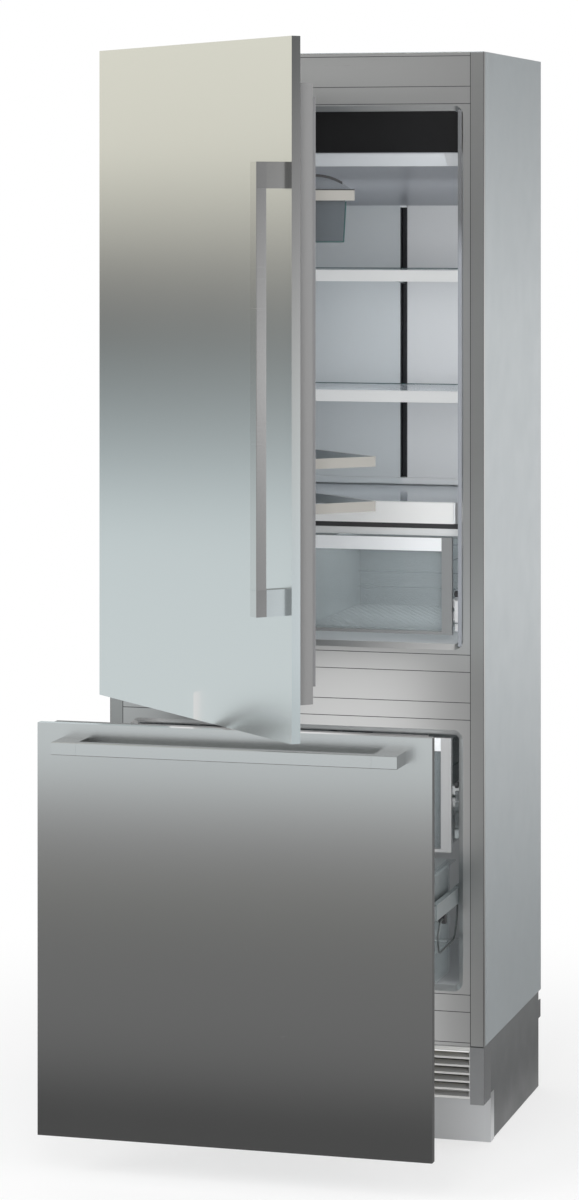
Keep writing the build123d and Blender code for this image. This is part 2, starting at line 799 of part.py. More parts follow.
# ================================================================ door and drawer panels
door_y = -(panel_depth + inner_depth + gasket_depth)
panel_y = (door_y, door_y + panel_depth)
casing_y = (panel_y[1], panel_y[1] + inner_depth)
gasket_y = (casing_y[1], -fit)
casing_x = both(half_width - casing_inset)
door_panel_z = (door_bottom, door_top)
pin_place = (-half_width + hinge_pin_inset, middle(panel_y))


def folded_panel(z, casing_z):
    """A sheet panel folded round its edges, with a window in its back where the casing stands."""
    skin = (panel_sheet, panel_sheet)
    panel = hollow(both(half_width), panel_y, z, skin, skin, skin)
    window_x = inset(casing_x, panel_lip)
    return panel - block(window_x, (panel_y[1] - panel_sheet, panel_y[1]), inset(casing_z, panel_lip))


def door_panel():
    panel = folded_panel(door_panel_z, door_casing_z)
    slot_x = (-half_width, -half_width + hinge_slot_width)
    for z in hinge_zs:
        slot_z = span(z, hinge_arm_thickness + 2 * hinge_slot_gap)
        panel -= block(slot_x, (panel_y[0] + panel_sheet, panel_y[1]), slot_z)
    return panel


def casing(z):
    walls = (casing_wall, casing_wall)
    return hollow(casing_x, casing_y, z, walls, (0, casing_wall), walls)


def casing_filling(z):
    return block(inset(casing_x, casing_wall), inset(casing_y, 0, casing_wall), inset(z, casing_wall))


def gasket(frame_z):
    """A magnetic seal that lands on the face frame."""
    x = both(face_half_width - seam)
    z = inset(frame_z, seam)
    ring = block(x, gasket_y, z)
    return ring - block(inset(x, gasket_width), gasket_y, inset(z, gasket_width))


def hinge_arm(z):
    """A forged arm on a screwed foot, with an eye for the pin."""
    x, y = pin_place
    thick = span(z, hinge_arm_thickness)
    foot_width, foot_depth, foot_height = hinge_foot
    arm = block(span(x, hinge_arm_width), (y, -foot_depth), thick)
    arm += rod(hinge_eye_radius, (x, y, thick[0]), (x, y, thick[1]))
    foot_x = (-half_width + sheet, -half_width + sheet + foot_width)
    arm += block(foot_x, (-foot_depth, 0), span(z, foot_height))
    return arm - rod(hinge_pin_radius + hinge_clearance, (x, y, thick[0]), (x, y, thick[1]))


def hinge_pin(z):
    x, y = pin_place
    length = hinge_arm_thickness + 2 * bush_height
    low, high = span(z, length)
    return rod(hinge_pin_radius, (x, y, low), (x, y, high))


def hinge_bushes(z):
    """A block above and one below the arm, inside the folded panel."""
    x, y = pin_place
    bushes = []
    for side in (-1, 1):
        start = z + side * (hinge_arm_thickness / 2 + fit)
        end = start + side * bush_height
        bush_z = (min(start, end), max(start, end))
        bush_y = inset(panel_y, panel_sheet)
        bush_x = (-half_width + panel_sheet, -half_width + panel_sheet + bush_width)
        bore = rod(hinge_pin_radius + hinge_clearance, (x, y, bush_z[0]), (x, y, bush_z[1]))
        bushes.append(block(bush_x, bush_y, bush_z) - bore)
    return bushes


def handle_bar(x, z):
    y = (door_y - handle_reach, door_y - handle_reach + handle_depth)
    bar = block(x, y, z)
    long_way = Axis.Z if size(z) > size(x) else Axis.X
    return fillet(bar.edges().filter_by(long_way), handle_edge_radius)


def handle_end(x, z):
    end = block(x, (door_y - handle_reach, door_y), z)
    long_way = Axis.Z if size(z) > size(x) else Axis.X
    return fillet(end.edges().filter_by(long_way).group_by(Axis.Y)[0], handle_edge_radius)


door_handle_x = (half_width - door_handle_inset - handle_width, half_width - door_handle_inset)


def door_handle_bar():
    return handle_bar(door_handle_x, inset(door_handle_z, handle_block + fit / 2))


def door_handle_ends():
    low, high = door_handle_z
    return [handle_end(door_handle_x, z) for z in ((low, low + handle_block), (high - handle_block, high))]


def drawer_handle_bar():
    return handle_bar(both(drawer_handle_half_length - handle_block - fit / 2), drawer_handle_z)


def drawer_handle_ends():
    x = (drawer_handle_half_length - handle_block, drawer_handle_half_length)
    return pair(handle_end(x, drawer_handle_z))


# ================================================================ inside of the door
liner_face = casing_y[1] + liner_rise
dyke_x = (tray_rim_half_width + fit, tray_rim_half_width + fit + dyke_width)


def door_liner():
    """A raised inner face with a dyke along each side that carries the trays."""
    walls = (casing_wall, casing_wall)
    y = (casing_y[1], liner_face)
    face = hollow(both(liner_half_width), y, liner_z, walls, (0, casing_wall), walls)
    for dyke in pair(block(dyke_x, (liner_face, liner_face + dyke_depth), dyke_z)):
        face += dyke
    return face


def plan_ring(x, y, z, wall):
    """An upright band round a rectangle, with rounded front corners."""
    outer = block(x, y, z)
    outer = fillet(outer.edges().filter_by(Axis.Z).group_by(Axis.Y)[-1], rim_corner)
    inner = block(inset(x, wall), inset(y, wall), z)
    return outer - fillet(inner.edges().filter_by(Axis.Z).group_by(Axis.Y)[-1], rim_corner - wall + fit)


def rim_limits(front):
    return both(tray_rim_half_width), (tray_rim_back, front)


def tray_rims():
    fronts = [(bottom, tray_rim_front) for bottom in tray_bottoms]
    fronts += [(dairy_rim_bottom, dairy_rim_front)]
    return [plan_ring(*rim_limits(front), (z, z + rim_height), rim_sheet) for z, front in fronts]


def door_tray(bottom):
    """A shallow clear tray that hangs in its rim."""
    x, y = (inset(limits, rim_sheet + fit) for limits in rim_limits(tray_rim_front))
    z = (bottom, bottom + rim_height - fit)
    walls = (tray_wall, tray_wall)
    tray = hollow(x, y, z, walls, walls, (tray_wall, 0))
    return fillet(tray.edges().filter_by(Axis.Z).group_by(Axis.Y)[-1], rim_corner - rim_sheet)


def tapered(x, y, z):
    """A block that narrows downwards at its ends and its front."""
    floor_y = inset(y, 0, dairy_taper)
    floor = Pos(0, middle(floor_y), z[0]) * Rectangle(size(x) - 2 * dairy_taper, size(floor_y))
    mouth = Pos(0, middle(y), z[1]) * Rectangle(size(x), size(y))
    return loft([floor, mouth], ruled=True)


def dairy_box():
    """A tapered clear tub with a flange in its rim and an ear at each end for the lid."""
    top = dairy_rim_bottom + rim_height - rim_sheet
    bottom = top - dairy_tub_height - rim_height + rim_sheet
    y = (tray_rim_back + rim_sheet + fit, dairy_tub_front)
    walls = (tray_wall, tray_wall)
    x = both(dairy_tub_half_width)
    tub = tapered(x, y, (bottom, top)) + dairy_flange(top)
    tub -= tapered(inset(x, *walls), inset(y, *walls), (bottom + tray_wall, top))
    ear_y = span(lid_pivot[0], lid_ear_width)
    ear_y = (max(ear_y[0], y[0]), ear_y[1])
    ear_z = (top, lid_pivot[1] + lid_barrel_radius + lid_sheet)
    ear_x = (dairy_tub_half_width, dairy_tub_half_width + lid_ear_sheet)
    for ear in pair(block(ear_x, ear_y, ear_z) - lid_pin(ear_x[1], lid_pin_radius + hinge_clearance)):
        tub += ear
    return tub


def dairy_flange(top):
    x, y = (inset(limits, rim_sheet + fit) for limits in rim_limits(dairy_rim_front))
    flange = block(x, y, (top - tray_wall, top))
    return fillet(flange.edges().filter_by(Axis.Z).group_by(Axis.Y)[-1], rim_corner - rim_sheet)


def lid_pin(reach, radius):
    y, z = lid_pivot
    return rod(radius, (0, y, z), (reach, y, z))


def dairy_lid():
    """A curved clear cover on a barrel with a pin at each end."""
    y, z = lid_pivot
    top = (y, z + lid_barrel_radius - lid_sheet / 2)
    x0 = -dairy_tub_half_width + running
    outer = ThreePointArc(*[(x0, *point) for point in (top, lid_crown, lid_edge)])
    inner_points = moved([lid_edge, lid_crown, top], 0, -lid_sheet)
    inner = ThreePointArc(*[(x0, *point) for point in inner_points])
    sides = [Line(outer @ 1, inner @ 0), Line(inner @ 1, outer @ 0)]
    lid = extrude(make_face([outer, inner] + sides), amount=-2 * x0, dir=(1, 0, 0))
    lid += rod(lid_barrel_radius, (x0, y, z), (-x0, y, z))
    for pin in pair(lid_pin(dairy_tub_half_width + lid_ear_sheet, lid_pin_radius)):
        lid += pin
    return lid


# ================================================================ freezer drawer's tub and rails
def rail_outer_x(step):
    return opening_half_width - step * (rail_wall + running)


def c_rail(step, y):
    """One C-shaped member, nested in the member before it with a running clearance all round."""
    x = (rail_outer_x(step) - rail_member_width, rail_outer_x(step))
    height = rail_height - 2 * step * (rail_wall + running)
    return hollow(x, y, span(rail_z, height), (0, rail_wall), (0, 0), (rail_wall, rail_wall))


def inner_rail():
    """The innermost member, with the arm that carries the tub's flange."""
    y = (casing_y[1], rail_y[1] - gasket_depth)
    rail = c_rail(2, y)
    web_x = (tub_half_width + carrier_gap, rail_outer_x(2) - rail_wall)
    arm_z = span(rail_z, carrier_sheet)
    rail += block(web_x, carrier_y, arm_z)
    upright_z = (arm_z[0], tub_z[1] - tub_wall - running)
    return rail + block((web_x[0], web_x[0] + carrier_sheet), carrier_y, upright_z)


def freezer_tub():
    walls = (tub_wall, tub_wall)
    tub = hollow(both(tub_half_width), tub_y, tub_z, walls, walls, (tub_wall, 0))
    flange_x = (tub_half_width, tub_half_width + tub_flange)
    for flange in pair(block(flange_x, inset(tub_y, tub_wall), (tub_z[1] - tub_wall, tub_z[1]))):
        tub += flange
    return tub


# ================================================================ assembly
crisper = (crisper_half_width, crisper_front_y, crisper_front_z)
upper_tray = (tray_half_width, tray_front_y, tray_front_z)

cabinet_nodes = {
    "outer_wrap": outer_wrap(),
    "back_panel": back_panel(),
    "insulation": insulation(),
    "columns": pair(column()),
    "face_trims": face_trims(),
    "fridge_liner": liner(fridge_opening),
    "freezer_liner": liner(freezer_opening),
    "power_inlet": power_inlet(),
    "base_frame": base_frame(),
    "toe_kick": toe_kick(),
    "corner_brackets": pair(corner_bracket()),
    "vent_grille": vent_grille(),
    "levelling_feet": [levelling_foot(x, y) for x in both(foot_x) for y in foot_ys],
    "rear_brackets": pair(rear_bracket()),
    "compressor": compressor(),
    "condenser": condenser(),
    "drip_tray": drip_tray(),
    "evaporator": evaporator(),
    "freezer_back_wall": freezer_wall(),
    "control_panel": control_panel(),
    "duct_cover": duct_cover(),
    "light_diffuser": light_diffuser(),
    "shelf_rails": pair(shelf_rail()),
    "shelf_glass": shelf_panes(),
    "shelf_trims": shelf_trims(),
    "shelf_brackets": [shelf_bracket(top, x) for top in shelf_tops for x in both(shelf_rail_x)],
    "control_strip": control_strip_bar(),
    "drawer_slides": pair(drawer_slide(crisper_slide_z)) + pair(drawer_slide(tray_slide_z)),
    "rail_outer": pair(c_rail(0, rail_y)),
    "hinge_arms": [hinge_arm(z) for z in hinge_zs],
    "hinge_pins": [hinge_pin(z) for z in hinge_zs],
}
crisper_nodes = {
    "crisper_front": drawer_front(*crisper),
    "crisper_glass": front_pane(*crisper),
    "crisper_tub": drawer_tub(
        crisper_tub_half_width, crisper_front_y, crisper_tub_back, crisper_front_z, crisper_slide_z
    ),
}
freezer_tray_nodes = {
    "freezer_tray_front": drawer_front(*upper_tray),
    "freezer_tray_glass": front_pane(*upper_tray),
    "freezer_tray_tub": drawer_tub(
        tray_tub_half_width, tray_front_y, tray_tub_back, tray_front_z, tray_slide_z
    ),
}
fan_nodes = {
    "evaporator_fan": fan(evaporator_fan_place, fan_radius - 2 * fit),
    "condenser_fan": fan(condenser_fan_place, fan_radius),
}
door_nodes = {
    "door_panel": door_panel(),
    "inner_door": casing(door_casing_z),
    "door_insulation": casing_filling(door_casing_z),
    "door_liner": door_liner(),
    "door_gasket": gasket(fridge_frame),
    "hinge_bushes": [bush for z in hinge_zs for bush in hinge_bushes(z)],
    "door_handle_bar": door_handle_bar(),
    "door_handle_ends": door_handle_ends(),
    "door_trays": [door_tray(z) for z in tray_bottoms],
    "tray_rims": tray_rims(),
    "dairy_box": dairy_box(),
    "dairy_lid": dairy_lid(),
}
drawer_nodes = {
    "drawer_panel": folded_panel(drawer_panel_z, drawer_casing_z),
    "drawer_inner": casing(drawer_casing_z),
    "drawer_insulation": casing_filling(drawer_casing_z),
    "drawer_gasket": gasket(freezer_frame),
    "drawer_handle_bar": drawer_handle_bar(),
    "drawer_handle_ends": drawer_handle_ends(),
    "freezer_tub": freezer_tub(),
    "rail_inner": pair(inner_rail()),
}
middle_rail_nodes = {"rail_middle": pair(c_rail(1, inset(rail_y, 0, gasket_depth)))}

as_drawn = Location((0, 0, 0))
swung_open = Pos(*pin_place, 0) * Rot(Z=-door_open) * Pos(-pin_place[0], -pin_place[1], 0)
pulled_out = Pos(0, -drawer_out, 0)
half_pulled_out = Pos(0, -drawer_out / 2, 0)


def placed():
    """Every node's solids where they stand, door open and drawer out."""
    groups = (
        (as_drawn, cabinet_nodes),
        (as_drawn, crisper_nodes),
        (as_drawn, freezer_tray_nodes),
        (as_drawn, fan_nodes),
        (swung_open, door_nodes),
        (pulled_out, drawer_nodes),
        (half_pulled_out, middle_rail_nodes),
    )
    nodes = {}
    for place, group in groups:
        for name, shapes in group.items():
            shapes = shapes if isinstance(shapes, list) else [shapes]
            nodes[name] = [place * solid for shape in shapes for solid in shape.solids()]
    return nodes


nodes = placed()
box = Compound([solid for solids in nodes.values() for solid in solids]).bounding_box()
origin = (middle((box.min.X, box.max.X)), middle((box.min.Y, box.max.Y)), 0.0)

os.makedirs("parts", exist_ok=True)
for name, solids in nodes.items():
    export_step(Pos(*(-value for value in origin)) * Compound(solids), f"parts/{name}.step")
print("nodes", len(nodes), "origin at", [round(value, 3) for value in origin])
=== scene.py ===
"""Dresses the bottom freezer refrigerator: materials, fine pieces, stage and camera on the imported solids."""
import math

import bmesh
import bpy
from mathutils import Matrix, Vector


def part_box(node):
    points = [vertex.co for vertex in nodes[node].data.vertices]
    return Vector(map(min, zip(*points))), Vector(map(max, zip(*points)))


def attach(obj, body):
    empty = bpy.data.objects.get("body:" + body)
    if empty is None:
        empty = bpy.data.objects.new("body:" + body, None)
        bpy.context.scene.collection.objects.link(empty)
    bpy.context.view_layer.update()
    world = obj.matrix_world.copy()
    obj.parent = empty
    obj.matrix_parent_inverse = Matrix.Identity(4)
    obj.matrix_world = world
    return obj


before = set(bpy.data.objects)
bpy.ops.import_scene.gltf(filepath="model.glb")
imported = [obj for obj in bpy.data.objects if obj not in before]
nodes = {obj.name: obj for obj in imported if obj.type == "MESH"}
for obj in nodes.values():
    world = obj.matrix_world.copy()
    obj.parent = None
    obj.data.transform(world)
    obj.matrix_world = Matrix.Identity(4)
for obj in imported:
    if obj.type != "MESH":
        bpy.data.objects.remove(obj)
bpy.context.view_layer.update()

# ------ places
# Pieces are drawn in millimetres on the closed refrigerator:
# X to the right, Y back from the face, Z up from the floor.
wrap_low, wrap_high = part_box("outer_wrap")
ORIGIN = Vector(((wrap_low.x + wrap_high.x) / 2, wrap_low.y, 0.0))
DOOR_OPEN = math.radians(44.46)
DRAWER_OUT = 0.36385
PIN = Vector((-0.370, -0.057, 0.0))
SCALE = Matrix.Diagonal((0.001, 0.001, 0.001, 1.0))
MM = Matrix.Translation(ORIGIN) @ SCALE
SWING = (
    Matrix.Translation(ORIGIN + PIN)
    @ Matrix.Rotation(-DOOR_OPEN, 4, "Z")
    @ Matrix.Translation(-PIN)
    @ SCALE
)
PLACE = {
    "cabinet": MM,
    "crisper": MM,
    "freezer_tray": MM,
    "door": SWING,
    "lid": SWING,
    "freezer_drawer": Matrix.Translation((0, -DRAWER_OUT, 0)) @ MM,
    "rail_middle": Matrix.Translation((0, -DRAWER_OUT / 2, 0)) @ MM,
}


def drawn(node, body="cabinet"):
    """Limits of a CAD node on each axis, in drawing millimetres; not for the turned door."""
    back = PLACE[body].inverted()
    low, high = (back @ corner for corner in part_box(node))
    return tuple((low[axis], high[axis]) for axis in range(3))


# ------ shader nodes
def grey(*stops):
    return [(place, (value, value, value)) for place, value in stops]


def add_node(tree, kind, **inputs):
    """A new node with inputs set by name; _ stands for a space in the name."""
    node = tree.nodes.new(kind)
    for name, value in inputs.items():
        node.inputs[name.replace("_", " ")].default_value = value
    return node


def combine(tree, kind, operation, a, b):
    """A math node of a kind that works on two outputs."""
    node = tree.nodes.new(kind)
    node.operation = operation
    tree.links.new(a, node.inputs[0])
    tree.links.new(b, node.inputs[1])
    return node.outputs[0]


def ramp(tree, axis, stops):
    """Colour by the place on one axis, from (place, colour) stops."""
    split = tree.nodes.new("ShaderNodeSeparateXYZ")
    tree.links.new(tree.nodes.new("ShaderNodeTexCoord").outputs["Object"], split.inputs[0])
    low, high = stops[0][0], stops[-1][0]
    share = add_node(tree, "ShaderNodeMapRange", From_Min=low, From_Max=high)
    tree.links.new(split.outputs[axis], share.inputs["Value"])
    node = tree.nodes.new("ShaderNodeValToRGB")
    node.color_ramp.interpolation = "B_SPLINE"
    while len(node.color_ramp.elements) < len(stops):
        node.color_ramp.elements.new(0.5)
    for element, (place, colour) in zip(node.color_ramp.elements, stops):
        element.position = (place - low) / (high - low)
        element.color = (*colour, 1.0)
    tree.links.new(share.outputs["Result"], node.inputs["Fac"])
    return node.outputs["Color"]


FACING_COSINES = (0.90, 0.97)
STEP_WIDTH = 0.0004


class Paint:
    """One material's node tree, built up from its Principled BSDF."""

    def __init__(self, name, colour, rough, metal=0.0, **sockets):
        self.mat = bpy.data.materials.new(name)
        self.mat.use_nodes = True
        self.tree = self.mat.node_tree
        self.bsdf = next(n for n in self.tree.nodes if n.type == "BSDF_PRINCIPLED")
        self.where = self.add("ShaderNodeTexCoord").outputs["Object"]
        self.colour = colour
        self.set("Base Color", (*colour, 1.0))
        self.set("Roughness", rough)
        self.set("Metallic", metal)
        for socket, value in sockets.items():
            self.set(socket.replace("_", " "), value)

    def add(self, kind, **inputs):
        return add_node(self.tree, kind, **inputs)

    def set(self, socket, value):
        self.bsdf.inputs[socket].default_value = value

    def link(self, a, b):
        self.tree.links.new(a, b)

    def texture(self, kind, stretch, **inputs):
        """A texture whose cells are 1/stretch metres long on each axis."""
        place = self.add("ShaderNodeMapping", Scale=stretch)
        self.link(self.where, place.inputs["Vector"])
        node = self.add(kind, Scale=1.0, **inputs)
        self.link(place.outputs["Vector"], node.inputs["Vector"])
        return node

    def noise(self, stretch, detail=3.0, roughness=0.5):
        node = self.texture("ShaderNodeTexNoise", stretch, Detail=detail, Roughness=roughness)
        return node.outputs["Fac"]

    def cells(self, stretch):
        return self.texture("ShaderNodeTexVoronoi", stretch)

    def along(self, axis, start, end):
        """0 to 1 between two places on one axis of the row frame, in metres."""
        split = self.add("ShaderNodeSeparateXYZ")
        self.link(self.where, split.inputs[0])
        return self.remap(split.outputs[axis], 0.0, 1.0, start, end)

    def dot(self, vector, direction):
        node = self.add("ShaderNodeVectorMath")
        node.operation = "DOT_PRODUCT"
        self.link(vector, node.inputs[0])
        node.inputs[1].default_value = direction
        return node.outputs["Value"]

    def facing(self, direction):
        """1 on the faces that look a way, 0 on the others."""
        normal = self.add("ShaderNodeNewGeometry").outputs["True Normal"]
        return self.remap(self.dot(normal, direction), 0.0, 1.0, *FACING_COSINES)

    def beyond(self, direction, distance):
        """1 past a distance along a direction, 0 short of it, in metres of the row frame."""
        return self.remap(self.dot(self.where, direction), 0.0, 1.0, distance, distance + STEP_WIDTH)

    def times(self, a, b):
        return combine(self.tree, "ShaderNodeMath", "MULTIPLY", a, b)

    def remap(self, value, low, high, start=0.25, end=0.75):
        node = self.add("ShaderNodeMapRange", From_Min=start, From_Max=end, To_Min=low, To_Max=high)
        self.link(value, node.inputs["Value"])
        return node.outputs["Result"]

    def blend(self, fac, a, b):
        """Colour that goes from a to b with a factor; a may be an output."""
        node = self.add("ShaderNodeMix")
        node.data_type = "RGBA"
        self.link(fac, node.inputs["Factor"])
        for value, socket in ((a, node.inputs[6]), (b, node.inputs[7])):
            if isinstance(value, tuple):
                socket.default_value = (*value, 1.0)
            else:
                self.link(value, socket)
        return node.outputs[2]

    def tone(self, fac, spread):
        """The base colour, made lighter and darker by a share."""
        low = tuple(c * (1 - spread) for c in self.colour)
        high = tuple(min(1.0, c * (1 + spread)) for c in self.colour)
        self.link(self.blend(fac, low, high), self.bsdf.inputs["Base Color"])
        return self

    def shaded(self, fac, colour):
        """Lays another colour over the base colour where the factor is 1."""
        socket = self.bsdf.inputs["Base Color"]
        below = socket.links[0].from_socket if socket.is_linked else self.colour
        self.link(self.blend(fac, below, colour), socket)
        return self

    def rough(self, fac, low, high):
        self.link(self.remap(fac, low, high), self.bsdf.inputs["Roughness"])
        return self

    def bump(self, *heights):
        """Bumps laid on each other, as (height, strength, distance in metres)."""
        last = None
        for height, strength, distance in heights:
            node = self.add("ShaderNodeBump", Strength=strength, Distance=distance)
            self.link(height, node.inputs["Height"])
            if last:
                self.link(last, node.inputs["Normal"])
            last = node.outputs["Normal"]
        self.link(last, self.bsdf.inputs["Normal"])
        return self


# ------ kinds of surface
STROKE_SHARE = 0.6


def brushed(name, colour, rough, grain, spread=0.03, bump=0.03, metal=1.0):
    """Metal ground one way: grain is the noise stretch, small along the strokes."""
    paint = Paint(name, colour, rough, metal)
    strokes = paint.noise(grain, detail=4.0, roughness=0.7)
    handling = paint.noise((3.0,) * 3)
    paint.tone(strokes, spread)
    mixed = paint.add("ShaderNodeMath")
    mixed.operation = "MULTIPLY_ADD"
    mixed.inputs[1].default_value = STROKE_SHARE
    paint.link(strokes, mixed.inputs[0])
    paint.link(paint.remap(handling, 0.0, 1 - STROKE_SHARE, 0.0, 1.0), mixed.inputs[2])
    paint.rough(mixed.outputs[0], rough * 0.88, rough * 1.12)
    return paint.bump((strokes, bump, 0.0002))


def moulded(name, colour, rough, pores=900.0, spread=0.02, bump=0.08):
    """Plastic with a fine moulded texture and slow changes of shade."""
    paint = Paint(name, colour, rough)
    fine = paint.noise((pores,) * 3, detail=2.0)
    slow = paint.noise((6.0,) * 3)
    paint.tone(slow, spread)
    paint.rough(fine, rough * 0.88, rough * 1.12)
    return paint.bump((fine, bump, 0.0002))


def coated(name, colour, rough, metal=0.0, peel=260.0, spread=0.025, bump=0.06):
    """Stoved enamel with an orange peel and faint cloudiness."""
    paint = Paint(name, colour, rough, metal)
    peeled = paint.noise((peel,) * 3, detail=2.0)
    clouds = paint.noise((1.6, 1.6, 0.7), detail=4.0)
    dust = paint.noise((14.0,) * 3, detail=5.0)
    paint.tone(clouds, spread)
    paint.rough(dust, rough * 0.9, rough * 1.15)
    return paint.bump((peeled, bump, 0.0003))


def clear(name, tint, rough, alpha, ripple=35.0, bump=0.02, spread=0.03):
    """Glass or clear plastic: a thin tinted film on what shows through it."""
    paint = Paint(name, tint, rough, 0.0, Alpha=alpha, IOR=1.5)
    flow = paint.noise((ripple,) * 3, detail=1.0)
    smear = paint.noise((7.0,) * 3)
    paint.tone(smear, spread)
    paint.rough(smear, rough * 0.8, rough * 1.3)
    return paint.bump((flow, bump, 0.0004))


# ------ materials
LEVEL_GRAIN = (7.0, 7.0, 1500.0)
UPRIGHT_GRAIN = (1500.0, 1500.0, 7.0)
CROSS_GRAIN = (6.0, 1400.0, 1400.0)
DEPTH_GRAIN = (1200.0, 9.0, 1200.0)
RIGHT = (1.0, 0.0, 0.0)
DOWN = (0.0, 0.0, -1.0)
DOOR_EDGE = (math.cos(DOOR_OPEN), -math.sin(DOOR_OPEN), 0.0)
DOOR_BACK = (math.sin(DOOR_OPEN), math.cos(DOOR_OPEN), 0.0)
BAR_BACK = Vector((0.0, -111.0, 0.0))
HANDLE_BACK = (SWING @ BAR_BACK).dot(Vector(DOOR_BACK))

# steel of the outside
door_steel = brushed("door_steel", (0.66, 0.665, 0.66), 0.23, LEVEL_GRAIN, spread=0.012, bump=0.012)
drawer_steel = brushed("drawer_steel", (0.66, 0.665, 0.66), 0.25, LEVEL_GRAIN, spread=0.012, bump=0.012)
# painted reflection: the door panel's edge faces are light low down and dark towards the top
door_steel.shaded(door_steel.facing(DOOR_EDGE), ramp(door_steel.tree, "Z", [
    (0.90, (0.50, 0.55, 0.56)),
    (1.02, (0.64, 0.70, 0.72)),
    (1.18, (0.68, 0.75, 0.77)),
    (1.33, (0.66, 0.70, 0.70)),
    (1.55, (0.53, 0.54, 0.535)),
    (1.76, (0.37, 0.37, 0.37)),
    (1.98, (0.245, 0.247, 0.247)),
    (2.13, (0.15, 0.155, 0.155)),
]))
# painted shade: the drawer panel's right-facing edge is near black
drawer_steel.shaded(drawer_steel.facing(RIGHT), (0.10, 0.10, 0.10))
column_steel = brushed("column_steel", (0.49, 0.495, 0.49), 0.34, UPRIGHT_GRAIN, spread=0.02)
trim_steel = brushed("trim_steel", (0.62, 0.622, 0.618), 0.30, CROSS_GRAIN, spread=0.02)
kick_steel = brushed("kick_steel", (0.40, 0.405, 0.41), 0.30, CROSS_GRAIN, spread=0.03)
# painted light: the toe kick is lighter towards its right end
kick_steel.shaded(kick_steel.along("X", 0.28, 0.37), (0.54, 0.55, 0.56))
bracket_steel = coated("bracket_steel", (0.27, 0.275, 0.28), 0.42, metal=0.5, peel=400.0)
# painted shade: the brackets' right-facing sides are darker
bracket_steel.shaded(bracket_steel.facing(RIGHT), (0.21, 0.215, 0.22))
grille_steel = brushed("grille_steel", (0.42, 0.42, 0.42), 0.40, CROSS_GRAIN, metal=0.2)
# painted highlight: a brighter steel for the grille's lips
lip_steel = brushed("lip_steel", (0.74, 0.74, 0.72), 0.34, CROSS_GRAIN, metal=0.4)
handle_metal = brushed("handle_metal", (0.60, 0.60, 0.59), 0.26, LEVEL_GRAIN, spread=0.01, bump=0.01)
# painted reflection: the bar's side facing the door's edge is dark at both ends and brightest at mid height
handle_metal.shaded(handle_metal.facing(DOOR_EDGE), ramp(handle_metal.tree, "Z", grey(
    (1.12, 0.37), (1.30, 0.48), (1.44, 0.60), (1.53, 0.63), (1.62, 0.57), (1.80, 0.44), (1.90, 0.37)
)))
handle_block = brushed("handle_block", (0.60, 0.60, 0.59), 0.26, LEVEL_GRAIN, spread=0.01, bump=0.01)
# painted shade and reflection: the blocks' sides facing the door's edge are dark, and behind the bar's back
# they are light low down and dark at the top
block_side = handle_block.facing(DOOR_EDGE)
block_foot = handle_block.times(block_side, handle_block.beyond(DOOR_BACK, HANDLE_BACK))
handle_block.shaded(block_side, ramp(handle_block.tree, "Z", grey((1.09, 0.355), (1.91, 0.34))))
handle_block.shaded(block_foot, ramp(handle_block.tree, "Z", [
    (1.09, (0.66, 0.72, 0.74)),
    (1.30, (0.68, 0.74, 0.76)),
    (1.60, (0.50, 0.50, 0.50)),
    (1.91, (0.33, 0.33, 0.325)),
]))
handle_level = brushed("handle_level", (0.66, 0.665, 0.66), 0.25, CROSS_GRAIN, spread=0.02)
# painted shade: the drawer handle's right-facing ends are darker
handle_level.shaded(handle_level.facing(RIGHT), (0.34, 0.34, 0.34))

# metal of the inside
cover_metal = brushed("cover_metal", (0.60, 0.63, 0.645), 0.34, UPRIGHT_GRAIN, spread=0.012, metal=0.1)
# painted light: the duct cover is lighter on its right part than on its left
cover_metal.shaded(cover_metal.along("X", 0.100, 0.112), (0.68, 0.69, 0.70))
# painted shade: the duct cover's down-facing ceiling is darker
cover_metal.shaded(cover_metal.facing(DOWN), (0.35, 0.362, 0.388))
shelf_metal = brushed("shelf_metal", (0.86, 0.865, 0.86), 0.30, CROSS_GRAIN, spread=0.02, metal=0.25)
rim_metal = brushed("rim_metal", (0.365, 0.355, 0.33), 0.34, CROSS_GRAIN, spread=0.03, metal=0.35)
post_metal = brushed("post_metal", (0.29, 0.298, 0.302), 0.36, UPRIGHT_GRAIN, spread=0.03, metal=0.4)
tray_post = brushed("tray_post", (0.50, 0.505, 0.51), 0.36, UPRIGHT_GRAIN, spread=0.03, metal=0.4)
bright_trim = brushed("bright_trim", (0.88, 0.90, 0.92), 0.30, CROSS_GRAIN, spread=0.02, metal=0.1)
rail_zinc = brushed("rail_zinc", (0.42, 0.46, 0.47), 0.36, DEPTH_GRAIN, spread=0.06, metal=0.6)
wire_steel = brushed("wire_steel", (0.16, 0.17, 0.17), 0.30, (300.0,) * 3, metal=0.8)
copper = brushed("copper", (0.62, 0.30, 0.18), 0.32, (200.0,) * 3, spread=0.08)
screw_steel = brushed("screw_steel", (0.50, 0.50, 0.50), 0.30, (400.0,) * 3)

# enamel
hinge_steel = coated("hinge_steel", (0.42, 0.42, 0.42), 0.38, metal=0.9, peel=500.0)
side_coat = coated("side_coat", (0.44, 0.478, 0.494), 0.36, metal=0.35, peel=320.0, spread=0.015, bump=0.02)
base_coat = coated("base_coat", (0.075, 0.078, 0.08), 0.45, spread=0.01, bump=0.04)
# painted shade: the base is darker towards the floor
base_coat.shaded(base_coat.along("Z", 0.02, 0.20), (0.15, 0.155, 0.157))
machine_black = coated("machine_black", (0.025, 0.025, 0.027), 0.32, bump=0.2, peel=180.0)

# plastic and rubber
liner_white = moulded("liner_white", (0.78, 0.80, 0.815), 0.38, pores=500.0, spread=0.015, bump=0.04)
